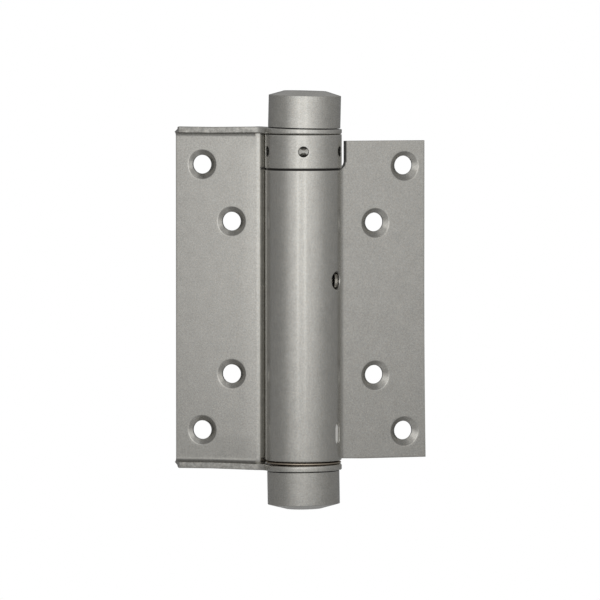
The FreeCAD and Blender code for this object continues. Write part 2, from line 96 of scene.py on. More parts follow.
def subdivide(stops: list[float], spacing: float) -> Array:
    """Grid lines through every stop, with evenly spaced lines between neighbours.

    Args:
        stops: Places that must have a line, in any order.
        spacing: Widest gap allowed between two lines.

    Returns:
        The sorted places of all lines.
    """
    places = np.unique(np.round(stops, 6))
    counts = np.maximum(np.ceil(np.diff(places) / spacing - 1e-6).astype(int), 1)
    runs = [
        np.linspace(start, end, count, endpoint=False)
        for start, end, count in zip(places[:-1], places[1:], counts)
    ]
    return np.concatenate([*runs, places[-1:]])


def round_corners(points: Array, radii: Array, steps: int = 5) -> Array:
    """A closed outline whose corners are eased.

    Each corner becomes a parabola between two points on its sides, at the distance
    from the corner where an arc of that radius would touch them.

    Args:
        points: Corners, one (r, z) row each.
        radii: Radius at each corner.
        steps: Points along each eased corner.

    Returns:
        The points of the eased outline, corner after corner.
    """
    before = np.roll(points, 1, axis=0) - points
    after = np.roll(points, -1, axis=0) - points
    before /= np.linalg.norm(before, axis=1, keepdims=True)
    after /= np.linalg.norm(after, axis=1, keepdims=True)
    opening = np.arccos(np.clip((before * after).sum(1), -1, 1))
    reach = (radii / np.tan(opening / 2))[:, None, None]
    share = np.linspace(0, 1, steps)[None, :, None]
    corner = points[:, None, :]
    start = corner + before[:, None, :] * reach
    end = corner + after[:, None, :] * reach
    eased = start * (1 - share) ** 2 + corner * 2 * share * (1 - share) + end * share**2
    return eased.reshape(-1, 2)


def lattice(
    rows: int, columns: int, wrap_rows: bool = False, wrap_columns: bool = False
) -> Array:
    """Four-sided faces between the points of a grid, point (i, j) being i * columns + j.

    Args:
        rows: Number of points along the first direction.
        columns: Number of points along the second.
        wrap_rows: Whether the last row joins the first.
        wrap_columns: Whether the last column joins the first.

    Returns:
        One row of four indices for each face.
    """
    i, j = np.meshgrid(
        np.arange(rows if wrap_rows else rows - 1),
        np.arange(columns if wrap_columns else columns - 1),
        indexing="ij",
    )
    below, beside = (i + 1) % rows, (j + 1) % columns
    near, far = i * columns, below * columns
    return np.stack([near + j, far + j, far + beside, near + beside], axis=-1).reshape(-1, 4)


# ---------------------------------------------------------------- meshes


# The dark mark is painted shade: it darkens the colour in holes, creases, gaps, cuts and bends.
MARKS = ("edge", "dark", "torn", "rolled")
MARK_SOCKETS = {"edge": "Edge", "dark": "Dark", "torn": "Torn", "rolled": "Lines"}


def marks(count: int, **shares: Array | float) -> Array:
    """Marks of points, one column for each name in MARKS, from 0 to 1.

    Args:
        count: Number of points.
        **shares: The marks that aren't 0, by name.

    Returns:
        One row for each point.
    """
    return np.stack([np.broadcast_to(shares.get(name, 0.0), count) for name in MARKS], axis=-1)


@dataclass
class Patchwork:
    """The surface patches of one piece, gathered and then welded into one closed mesh."""

    points: list[Array] = field(default_factory=list)
    faces: list[Array] = field(default_factory=list)
    marks: list[Array] = field(default_factory=list)
    count: int = 0

    def add(self, points: Array, faces: Array, marked: Array | None = None) -> None:
        """Adds one patch.

        Args:
            points: Its points, one (x, y, z) row each.
            faces: Its faces, four indices each.
            marked: The points' marks, if they have any.
        """
        self.points.append(points)
        self.faces.append(faces + self.count)
        self.marks.append(marks(len(points)) if marked is None else marked)
        self.count += len(points)

    def weld(self) -> tuple[Array, Array, Array, Array]:
        """Joins points that lie within a ten-thousandth of a millimetre.

        Where two patches meet wall to wall, both walls go, so that one skin is left.

        Returns:
            The points, the four-sided faces, the triangles and the points' marks.
        """
        points = np.concatenate(self.points)
        keys = np.round(points, WELD_DIGITS)
        _, first, place = np.unique(keys, axis=0, return_index=True, return_inverse=True)
        faces = place.ravel()[np.concatenate(self.faces)]
        same = faces == np.roll(faces, -1, axis=1)
        folded = (faces[:, 0] == faces[:, 2]) | (faces[:, 1] == faces[:, 3])
        quads = faces[(same.sum(1) == 0) & ~folded]
        _, which, times = np.unique(
            np.sort(quads, axis=1), axis=0, return_inverse=True, return_counts=True
        )
        quads = quads[times[which.ravel()] == 1]
        flat = (same.sum(1) == 1) & ~folded
        triangles = faces[flat][~same[flat]].reshape(-1, 3)
        marked = np.zeros((len(first), len(MARKS)))
        np.maximum.at(marked, place.ravel(), np.concatenate(self.marks))
        return points[first], quads, triangles, marked

    def build(self, name: str) -> bpy.types.Object:
        """Makes the piece: metres, smooth faces pointing outwards, crisp real corners.

        Args:
            name: The piece's name.

        Returns:
            Its object, at the origin.
        """
        points, quads, triangles, marked = self.weld()
        mesh = bpy.data.meshes.new(name)
        mesh.from_pydata((points * MM).tolist(), [], quads.tolist() + triangles.tolist())
        shell = bmesh.new()
        shell.from_mesh(mesh)
        bmesh.ops.recalc_face_normals(shell, faces=shell.faces)
        open_edges = sum(1 for side in shell.edges if len(side.link_faces) != 2)
        shell.to_mesh(mesh)
        shell.free()
        for name_of_mark, values in zip(MARKS, marked.T):
            attribute = mesh.attributes.new(name_of_mark, "FLOAT", "POINT")
            attribute.data.foreach_set("value", values.astype(np.float32))
        mesh.shade_smooth()
        mesh.set_sharp_from_angle(angle=math.radians(SHARP_ANGLE))
        piece = bpy.data.objects.new(name, mesh)
        bpy.context.scene.collection.objects.link(piece)
        weighted = piece.modifiers.new("even_normals", "WEIGHTED_NORMAL")
        weighted.keep_sharp = True
        weighted.weight = 100
        log.info("%s: %d faces, %d open edges", name, len(mesh.polygons), open_edges)
        return piece


def revolve(outline: Array, segments: int) -> tuple[Array, Array]:
    """A closed outline of (r, z) carried round the Z axis: x = r cos a, y = r sin a.

    Args:
        outline: The outline's points.
        segments: Steps round the axis.

    Returns:
        The points and the faces.
    """
    turn = np.linspace(0, 2 * np.pi, segments, endpoint=False)[:, None]
    radius = outline[None, :, 0]
    level = np.broadcast_to(outline[None, :, 1], (segments, len(outline)))
    points = np.stack([radius * np.cos(turn), radius * np.sin(turn), level], axis=-1)
    return points.reshape(-1, 3), lattice(segments, len(outline), True, True)


@dataclass(frozen=True)
class Opening:
    """A hole in a sheet or wall, with the square cell of grid that it takes up.

    Its outline is an upright stadium: a circle of the half width, pulled apart by twice
    the stretch. Each row of the section is (growth of the outline, depth from the face),
    and may go on with its share of the offset, the depth that a cone gains by it, and its
    own painted shade. The shade is painted shade on the wall's +u side.
    """

    u: float
    v: float
    reach_u: float
    reach_v: float
    half_width: float
    section: tuple[tuple[float, ...], ...]
    stretch: float = 0.0
    wall_radius: float = 0.0
    offset: tuple[float, float] = (0.0, 0.0)
    shade: float = 0.0

    def ring(
        self,
        direction: Array,
        growth: float,
        depth: float,
        moved: float = 0.0,
        sunk: float = 0.0,
    ) -> tuple[Array, Array, Array]:
        """One ring of the hole's wall, drilled straight through a curved wall if it has a radius.

        In a wall rolled to an outer radius R, a point at the sideways distance y from the
        drill's line and at the depth d lies R * arcsin(y / (R - d)) along the face.

        Args:
            direction: Direction of each ring point in the laid-out sheet, in radians.
            growth: How much the outline grows there.
            depth: Depth below the face.
            moved: Share of the offset that the ring takes.
            sunk: Depth gained for each millimetre by which the offset closes the ring in.

        Returns:
            u, v and depth of the ring's points.
        """
        half = max(self.half_width + growth, 0.0)
        cosine, sine = np.cos(direction), np.abs(np.sin(direction))
        pull = self.stretch if half > 0 else 0.0
        end = pull * sine + np.sqrt(np.maximum(half**2 - (pull * cosine) ** 2, 0))
        side = half / np.maximum(np.abs(cosine), 1e-9)
        radius = np.where(side * sine <= pull, side, end)
        across = radius * cosine
        if self.wall_radius:
            across = self.wall_radius * np.arcsin(across / (self.wall_radius - depth))
        u = self.u + across + self.offset[0] * moved
        v = self.v + radius * np.sin(direction) + self.offset[1] * moved
        closing = self.offset[0] * np.cos(direction) + self.offset[1] * np.sin(direction)
        return u, v, depth - closing * sunk

    def wall_painted_shade(self, points: Array, share: Array, spread: int) -> Array:
        """The wall's painted shade: the shade times (1 + cosine of the way from the hole) / 2.

        Args:
            points: The patch's points as (u, v, depth), in rings.
            share: Their edge share.
            spread: Number of rings before and after those of the wall.

        Returns:
            The painted shade mark of each point, at least its ring's own.
        """
        away = points[:, :2] - np.array([self.u, self.v])
        cosine = away[:, 0] / np.maximum(np.linalg.norm(away, axis=1), 1e-9)
        side = self.shade * share * (1 + cosine) / 2
        own = np.pad([row[4] if len(row) > 4 else 0.0 for row in self.section], spread)
        return np.maximum(side, np.repeat(own, len(points) // len(own)))


def everywhere(u: Array, v: Array) -> Array:
    """Keeps the whole grid as sheet."""
    return np.full(len(u), True)


@dataclass
class Quilt:
    """A grid of (u, v) lines over a laid-out sheet, with cells left out round openings."""

    u_lines: Array
    v_lines: Array
    openings: list[Opening]
    keep: Callable[[Array, Array], Array]
    spread: int = 3

    def __post_init__(self) -> None:
        """Lays out the grid points, and marks which faces are sheet and which are open."""
        self.columns = len(self.v_lines)
        u, v = np.meshgrid(self.u_lines, self.v_lines, indexing="ij")
        self.flat = np.stack([u.ravel(), v.ravel()], axis=-1)
        faces = lattice(len(self.u_lines), self.columns)
        middle = self.flat[faces].mean(1)
        self.whole = faces[self.keep(middle[:, 0], middle[:, 1])]
        centre = self.flat[self.whole].mean(1)
        inside = [
            (np.abs(centre - [hole.u, hole.v]) < [hole.reach_u, hole.reach_v]).all(1)
            for hole in self.openings
        ]
        self.faces = self.whole[~np.any(inside, axis=0)] if inside else self.whole

    def line(self, u: float) -> int:
        """Index of the u line nearest to a place."""
        return int(np.abs(self.u_lines - u).argmin())

    def row(self, v: float) -> int:
        """Index of the v line nearest to a place."""
        return int(np.abs(self.v_lines - v).argmin())

    def border(self, hole: Opening) -> Array:
        """Finds the grid points round a hole's cell.

        Args:
            hole: The opening.

        Returns:
            Their indices, in order round the cell.
        """
        left, right = self.line(hole.u - hole.reach_u), self.line(hole.u + hole.reach_u)
        low, high = self.row(hole.v - hole.reach_v), self.row(hole.v + hole.reach_v)
        across, up = np.arange(left, right), np.arange(low, high)
        line = [across, np.full(len(up), right), across[::-1] + 1, np.full(len(up), left)]
        row = [np.full(len(across), low), up, np.full(len(across), high), up[::-1] + 1]
        return np.concatenate(line) * self.columns + np.concatenate(row)

    def hole_patch(self, hole: Opening, back_depth: float | None) -> tuple[Array, Array, Array]:
        """Rings from the cell's border to the hole, down its wall and out to the back border.

        Args:
            hole: The opening.
            back_depth: Depth of the back surface, or None for a blind hole.

        Returns:
            Points as (u, v, depth), the faces, and each point's edge share.
        """
        border = self.flat[self.border(hole)]
        direction = np.arctan2(border[:, 1] - hole.v, border[:, 0] - hole.u)
        walls = [np.stack(hole.ring(direction, *row[:4]), axis=-1) for row in hole.section]
        edge = [0.0] + [1.0] * (len(walls) - 2) + [0.0]
        share = np.linspace(0, 1, self.spread, endpoint=False)[:, None, None]
        front = np.column_stack([border, np.zeros(len(border))])
        rings = [*(front * (1 - share) + walls[0] * share), *walls]
        edges = [0.0] * self.spread + edge
        if back_depth is not None:
            back = np.column_stack([border, np.full(len(border), back_depth)])
            rings += [*(walls[-1] * share[1:] + back * (1 - share[1:]))[::-1], back]
            edges += [0.0] * self.spread
        points = np.stack(rings)
        shares = np.repeat(edges, len(border))
        return points.reshape(-1, 3), lattice(len(rings), len(border), False, True), shares


@dataclass
class Sheet:
    """A sheet of metal laid out flat, with rounded edges and holes, that a fold then bends."""

    quilt: Quilt
    thickness: float
    rounding: float
    mark: Callable[[Array, Array, Array], Array]
    square: Callable[[Array, Array], Array] | None = None
    extra_points: Array | None = None
    extra_faces: Array | None = None

    EDGE_STEPS = 5

    def outline(self, faces: Array, flat: Array) -> tuple[Array, Array]:
        """Finds the sheet's outline and, at each point of it, the way out of the sheet.

        An outline edge is one that no face runs along the other way. The way out at a
        point is the mitred sum of the normals of its two edges, so that both move by
        the same distance. Edges called square don't move, so they count as no normal.

        Args:
            faces: Faces of the laid-out sheet, all turning the same way.
            flat: The (u, v) of each point.

        Returns:
            The outline edges as pairs of indices, and the way out of every point.
        """
        start, end = faces.ravel(), np.roll(faces, -1, axis=1).ravel()
        real = start != end
        start, end = start[real], end[real]
        total = len(flat)
        lone = ~np.isin(start * total + end, end * total + start)
        start, end = start[lone], end[lone]
        step = flat[end] - flat[start]
        normal = np.column_stack([step[:, 1], -step[:, 0]])
        normal /= np.linalg.norm(normal, axis=1, keepdims=True)
        if self.square is not None:
            middle = (flat[start] + flat[end]) / 2
            normal[self.square(middle[:, 0], middle[:, 1])] = 0
        first, second = np.zeros((total, 2)), np.zeros((total, 2))
        first[start] = normal
        second[end] = normal
        outward = (first + second) / (1 + (first * second).sum(1))[:, None]
        return np.column_stack([start, end]), outward

    def build(self, patches: Patchwork, fold: Fold) -> None:
        """Adds the face, the back, the edges and the holes of the folded sheet.

        Args:
            patches: Where the patches go.
            fold: Takes u, v and depth and gives points in space.
        """
        flat, whole, faces = self.quilt.flat, self.quilt.whole, self.quilt.faces
        if self.extra_points is not None:
            flat = np.vstack([flat, self.extra_points])
            corner = flat[self.extra_faces]
            area = np.cross(corner[:, 2] - corner[:, 0], corner[:, 3] - corner[:, 1])
            turned = np.where((area > 0)[:, None], self.extra_faces, self.extra_faces[:, ::-1])
            whole, faces = np.vstack([whole, turned]), np.vstack([faces, turned])
        edges, outward = self.outline(whole, flat)
        inset = flat - outward * self.rounding
        face_marks = self.mark(*flat.T, np.zeros(len(flat)))
        for depth in (0.0, self.thickness):
            patches.add(fold(*inset.T, np.full(len(flat), depth)), faces, face_marks)
        spots, depths, sides, wall_marks = self.rim(flat, edges, outward)
        patches.add(fold(*spots.T, depths), sides, wall_marks)
        for hole in self.quilt.openings:
            points, rings, share = self.quilt.hole_patch(hole, self.thickness)
            marked = self.mark(points[:, 0], points[:, 1], share * 0.0)
            # Painted shade on the hole's wall.
            marked[:, MARKS.index("dark")] = hole.wall_painted_shade(points, share, self.quilt.spread)
            patches.add(fold(*points.T), rings, marked)

    def rim(
        self, flat: Array, edges: Array, outward: Array
    ) -> tuple[Array, Array, Array, Array]:
        """The sheet's edge: a quarter round, a straight wall and a quarter round again.

        Args:
            flat: The (u, v) of each point of the sheet.
            edges: The outline edges as pairs of indices.
            outward: The way out of the sheet at each point.

        Returns:
            The rim's points as (u, v), their depths, the faces and the points' marks.
        """
        turn = np.linspace(0, np.pi / 2, self.EDGE_STEPS)
        drop = self.rounding * (1 - np.cos(turn))
        back = self.rounding * (1 - np.sin(turn))
        depths = np.concatenate([drop, self.thickness - drop[::-1]])
        insets = np.concatenate([back, back[::-1]])
        shares = np.ones(len(depths))
        shares[[0, -1]] = 0
        rim = np.unique(edges)
        place = np.zeros(len(flat), int)
        place[rim] = np.arange(len(rim))
        spots = flat[rim][None] - outward[rim][None] * insets[:, None, None]
        row = np.arange(len(depths) - 1)[:, None] * len(rim)
        start, end = place[edges[:, 0]][None] + row, place[edges[:, 1]][None] + row
        sides = np.stack([start, end, end + len(rim), start + len(rim)], axis=-1).reshape(-1, 4)
        marked = self.mark(*np.tile(flat[rim], (len(depths), 1)).T, np.repeat(shares, len(rim)))
        return spots.reshape(-1, 2), np.repeat(depths, len(rim)), sides, marked


def screw_hole(u: float, v: float, offset: tuple[float, float]) -> Opening:
    """A countersunk screw hole: eased rim, cone, short land and eased back rim, with painted shade
    on the land and on one side of the cone.

    Args:
        u: Its place along the leaf.
        v: Its height.
        offset: How far the land is drilled off the countersink's middle.

    Returns:
        The opening.
    """
    land, mouth, thickness, cell = 3.43, 5.25, 2.2, 6.2
    # Painted shade on the land all round, and on the cone's +u side.
    cone_angle, land_painted_shade, side_painted_shade = 50.0, 0.85, 0.4
    sink = 1 / math.tan(math.radians(cone_angle))
    growth = mouth - land
    cone = growth * sink
    section = (
        (growth + 0.32, 0.0),
        (growth + 0.13, 0.03),
        (growth - 0.08, 0.14),
        (0.09, cone - 0.07, 1.0, sink),
        (0.01, cone + 0.02, 1.0, sink, 0.6),
        (0.0, cone + 0.08, 1.0, sink, land_painted_shade),
        (0.0, thickness - 0.1, 1.0, 0.0, land_painted_shade),
        (0.04, thickness - 0.03, 1.0, 0.0, land_painted_shade),
        (0.12, thickness, 1.0),
    )
    return Opening(u, v, cell, cell, land, section, offset=offset, shade=side_painted_shade)


# ---------------------------------------------------------------- frame leaf


@dataclass
class FrameLeaf:
    """The folded leaf: plate, flanges, ears and the edge curled back beside the barrel.

    The corner's cut and drop slant the flanges' outer ends. The creases are where painted
    shade lies across the top and the bottom bend, as shares of the bend. The crown,
    the lifts at the lift places, the press that thins the top ear and the offset of the
    screw holes are slips of the real, pressed leaf.
    """

    name: str = "frame_leaf_sheet"
    thickness: float = 2.2
    face: float = 0.75
    outer_edge: float = -49.05
    curl_start: float = -18.45
    curl_radius: float = 3.7
    bend_start: float = 58.9
    bend_radius: float = 1.4
    flange_length: float = 3.1
    curl_height: float = 60.2
    corner_start: float = -45.2
    corner_cut: float = 2.75
    corner_drop: float = 2.0
    ear_radius: float = 14.0
    fillet_radius: float = 5.0
    bore_radius: float = 5.05
    rounding: float = 0.28
    ear_rounding: float = 0.8
    crown: float = 0.25
    crown_place: float = -24.0
    crown_fade: float = 8.0
    # Painted shade along the flanges' inner bends, at these shares of each bend.
    creases: tuple[float, float] = (0.85, 0.5)
    crease_width: float = 0.5
    crease_painted_shade: float = 0.6
    screw_places: tuple[tuple[float, float], ...] = ((38.9, 48.8), (27.6, 28.0))
    hole_offset: tuple[float, float] = (-0.45, 0.0)
    lift_places: tuple[float, ...] = (-49.0, -34.0, -17.0, -12.5, -8.0, 14.0)
    top_lifts: tuple[float, ...] = (0.2, 0.08, 0.3, 0.0, -0.05, -0.24)
    bottom_lifts: tuple[float, ...] = (0.2, 0.08, 0.34, 0.28, 0.2, -0.12)
    top_press: float = 0.16

    @property
    def back(self) -> float:
        """Level of the plate's back."""
        return self.face + self.thickness

    @property
    def flange_tip(self) -> float:
        """Level of the flanges' front edge."""
        return self.face - self.bend_radius - self.flange_length

    @property
    def bend_end(self) -> float:
        """Where the flange starts on the laid-out sheet."""
        return self.bend_start + self.bend_radius * math.pi / 2

    @property
    def reach_v(self) -> float:
        """Half the laid-out height, measured along the face round the bends."""
        return self.bend_end + self.flange_length

    def lift(self, x: Array, way: Array | int) -> Array:
        """How far flanges and ears stand past their true level, as slips of the press.

        Args:
            x: Distance from the pin along the leaf.
            way: Above 0 for the top ones, below 0 for the bottom ones.

        Returns:
            The lift at each place.
        """
        top = np.interp(x, self.lift_places, self.top_lifts)
        bottom = np.interp(x, self.lift_places, self.bottom_lifts)
        return np.where(np.asarray(way) > 0, top, bottom)

    def fold(self, u: Array, v: Array, depth: Array) -> Array:
        """Bends the flanges forward and crowns the plate.

        Past the bend's start the face follows a circle of the bend radius about
        (face - bend radius, bend start), then a straight flange.

        Args:
            u: Distance along the leaf, equal to x on the flat plate.
            v: Distance along the folded section, equal to z on the flat plate.
            depth: Depth below the face.

        Returns:
            Points in space.
        """
        way, along = np.sign(v), np.abs(v)
        turn = np.clip((along - self.bend_start) / self.bend_radius, 0, math.pi / 2)
        past = np.maximum(along - self.bend_end, 0)
        radius = self.bend_radius + depth
        y = self.face - self.bend_radius + radius * np.cos(turn) - past
        z = np.minimum(along, self.bend_start) + radius * np.sin(turn)
        forward = np.clip((self.face - self.bend_radius - y) / self.flange_length, 0, 1)
        level = self.bend_start + self.bend_radius + self.thickness - self.corner_drop
        ends = np.maximum(forward * self.corner_cut, np.maximum(z - level, 0))
        near = np.clip((self.corner_start - u) / (self.corner_start - self.outer_edge), 0, 1)
        x = u + ends * (along > self.bend_start) * near
        sides = np.where(u > self.crown_place, self.curl_start, self.outer_edge)
        bow = np.clip(1 - ((u - self.crown_place) / (sides - self.crown_place)) ** 2, 0, 1)
        fade = np.clip((self.bend_start - along) / self.crown_fade, 0, 1)
        y = y - self.crown * bow * (turn == 0) * fade
        z = z + self.lift(u, way) * np.sin(turn)
        return np.column_stack([x, y, way * z])

    def curl(self, u: Array, v: Array, depth: Array) -> Array:
        """Bends the plate's inner edge back beside the barrel.

        The face follows a circle of the curl radius about (curl start, face + curl radius).
        Past the flanges' bends the height is stretched until the edge meets the ears.

        Args:
            u: Distance along the leaf, equal to x up to the curl's start.
            v: Height.
            depth: Depth below the face.

        Returns:
            Points in space.
        """
        turn = (u - self.curl_start) / self.curl_radius
        arm = self.curl_radius - depth
        x = self.curl_start + arm * np.sin(turn)
        past = np.clip((np.abs(v) - self.bend_start) / (self.curl_height - self.bend_start), 0, 1)
        way = np.sign(v)
        ear = self.bend_start + self.bend_radius + self.lift(x, way)
        z = v + way * past * (ear - self.curl_height)
        return np.column_stack([x, self.face + self.curl_radius - arm * np.cos(turn), z])

    def flange_lines(self) -> Array:
        """Grid lines along a flange, from its bend's end to its front edge."""
        return subdivide([self.bend_end, self.reach_v - NARROW_MARGIN, self.reach_v], GRID)

    def square(self, u: Array, v: Array) -> Array:
        """The joint with the ears and the curled edge, which isn't rounded."""
        return np.abs(u - self.curl_start) < 1e-6

    def mark(self, u: Array, v: Array, share: Array) -> Array:
        """The flanges' sheared front edges are torn, and their inner bends get painted shade.

        Args:
            u: Distance along the leaf.
            v: Distance along the folded section.
            share: 1 on the sheet's edge, and 0 on its faces.

        Returns:
            The points' marks.
        """
        torn = share * (np.abs(v) > self.reach_v - NEAR)
        bend = (np.abs(v) - self.bend_start) / (self.bend_end - self.bend_start)
        away = np.abs(bend - np.where(v > 0, *self.creases))
        crease = np.clip(1 - away / self.crease_width, 0, 1) * self.crease_painted_shade
        return marks(len(u), edge=share, torn=torn, dark=crease * (share == 0))

    def sheets(self) -> tuple[Sheet, Sheet]:
        """Lays out the plate with its four screw holes, and its curled edge.

        Returns:
            The plate and the curled edge.
        """
        holes = [
            screw_hole(-reach, level * way, self.hole_offset)
            for reach, level in self.screw_places
            for way in (1, -1)
        ]
        u_stops = [self.outer_edge, self.outer_edge + MARGIN, self.curl_start]
        u_stops += [hole.u + hole.reach_u * way for hole in holes for way in (-1, 1)]
        v_stops = [0.0, self.bend_start]
        v_stops += [abs(hole.v) + hole.reach_v * way for hole in holes for way in (-1, 1)]
        flat = subdivide(v_stops, GRID)
        bend = np.linspace(self.bend_start, self.bend_end, 9)
        upper = np.concatenate([flat[:-1], bend[:-1], self.flange_lines()])
        beside = np.concatenate([flat, [self.curl_height - NARROW_MARGIN, self.curl_height]])
        curl_lines = self.curl_start + np.linspace(0, self.curl_radius * math.pi / 2, 15)
        v_lines = np.concatenate([-upper[:0:-1], upper])
        plate = Quilt(subdivide(u_stops, GRID), v_lines, holes, everywhere)
        curled = Quilt(curl_lines, np.concatenate([-beside[:0:-1], beside]), [], everywhere)
        return (
            Sheet(plate, self.thickness, self.rounding, self.mark, self.square),
            Sheet(curled, self.thickness, self.rounding, self.mark, self.square),
        )

    def ear_outline(self) -> tuple[Array, Array, Array]:
        """Outline of an ear from the curl's start round the pin, and the way into the metal.

        It runs down the joint with the flange, along the front edge, through a hollow
        fillet, round a circle about the pin, and back along the straight back edge.

        Returns:
            The (x, y) points, at each of them the unit vector into the metal, and how
            much of the ear's own, softer rounding its inner edge has there.
        """
        fillet = self.fillet_radius
        fillet_y = self.flange_tip - fillet
        fillet_x = -math.sqrt((self.ear_radius + fillet) ** 2 - fillet_y**2)
        to_pin = math.atan2(-fillet_y, -fillet_x)
        back_turn = 3 * math.pi - math.asin(self.back / self.ear_radius)
        along = self.face - self.bend_radius - (self.flange_lines() - self.bend_end)
        join = np.concatenate([np.linspace(self.back, along[0], 7)[:-1], along])
        joint = np.column_stack([np.full(len(join), self.curl_start), join])
        bend = np.linspace(math.pi / 2, to_pin, 12)
        into_hollow = np.column_stack([np.cos(bend), np.sin(bend)])
        hollow = np.array([fillet_x, fillet_y]) + fillet * into_hollow
        turn = np.linspace(math.pi + to_pin, back_turn, 110)[1:]
        round_end = self.ear_radius * np.column_stack([np.cos(turn), np.sin(turn)])
        edge = np.array([[(round_end[-1, 0] + self.curl_start) / 2, self.back]])
        still, down = np.zeros((len(join), 2)), np.array([[0.0, -1.0]])
        still[0], still[-1] = down, -down
        into_round = -round_end / self.ear_radius
        into_round[-1] = down
        points = np.vstack([joint, hollow, round_end, edge])
        softer = np.linspace(0, 1, len(bend))
        soft = np.concatenate([np.zeros(len(join)), softer, np.ones(len(turn)), [0]])
        return points, np.vstack([still, into_hollow, into_round, down]), soft

    def add_ear(self, patches: Patchwork, way: int) -> None:
        """One ear: a section of face, rounded rim and face carried round its outline.

        The section starts and ends at the bore. The top ear is pressed thinner towards
        its free end, and both ears get painted shade where a cap or the collar covers them.

        Args:
            patches: Where the patch goes.
            way: +1 for the top ear, -1 for the bottom one.
        """
        outer, inward, soft = self.ear_outline()
        inner = outer / np.linalg.norm(outer, axis=1, keepdims=True) * self.bore_radius
        turn = np.linspace(0, np.pi / 2, Sheet.EDGE_STEPS)[None]
        under = (self.rounding + (self.ear_rounding - self.rounding) * soft)[:, None]
        over = np.full_like(under, self.rounding)
        none, through = np.zeros((len(outer), 2)), np.full((len(outer), 2), self.thickness)
        insets = [none, under * (1 - np.sin(turn)), (over * (1 - np.sin(turn)))[:, ::-1], none]
        levels = [none, under * (1 - np.cos(turn))]
        levels += [self.thickness - (over * (1 - np.cos(turn)))[:, ::-1], through]
        share = np.concatenate([[0, 0.5], np.ones(2 * Sheet.EDGE_STEPS), [0.93, 0]])
        share = share[None, :, None]
        rim = outer[:, None] + inward[:, None] * np.hstack(insets)[..., None]
        spots = inner[:, None] * (1 - share) + rim * share
        towards_end = np.clip((spots[..., 0] / self.ear_radius + 1) / 2, 0, 1)
        pressed = self.top_press * (way > 0) * towards_end
        level = self.bend_start + self.bend_radius + self.lift(spots[..., 0], way)
        z = way * (level + np.hstack(levels) * (1 - pressed))
        points = np.concatenate([spots, z[..., None]], axis=-1).reshape(-1, 3)
        edge, under_cover_shade = np.zeros(share.size), np.zeros(share.size)
        edge[3:-3] = 1
        # Painted shade near the bore, where a cap or the collar covers the ear.
        under_cover_shade[[0, 1, -1, -2]] = 1
        faces = lattice(len(outer), share.size, True, True)
        near_pin = np.repeat(outer[:, 0] > -self.ear_radius, share.size)
        dark = np.tile(under_cover_shade, len(outer)) * near_pin
        patches.add(points, faces, marks(len(points), edge=np.tile(edge, len(outer)), dark=dark))

    def build(self) -> bpy.types.Object:
        """Makes the whole leaf.

        Returns:
            Its object.
        """
        patches = Patchwork()
        plate, curled = self.sheets()
        plate.build(patches, self.fold)
        curled.build(patches, self.curl)
        for way in (1, -1):
            self.add_ear(patches, way)
        return patches.build(self.name)


# ---------------------------------------------------------------- door leaf


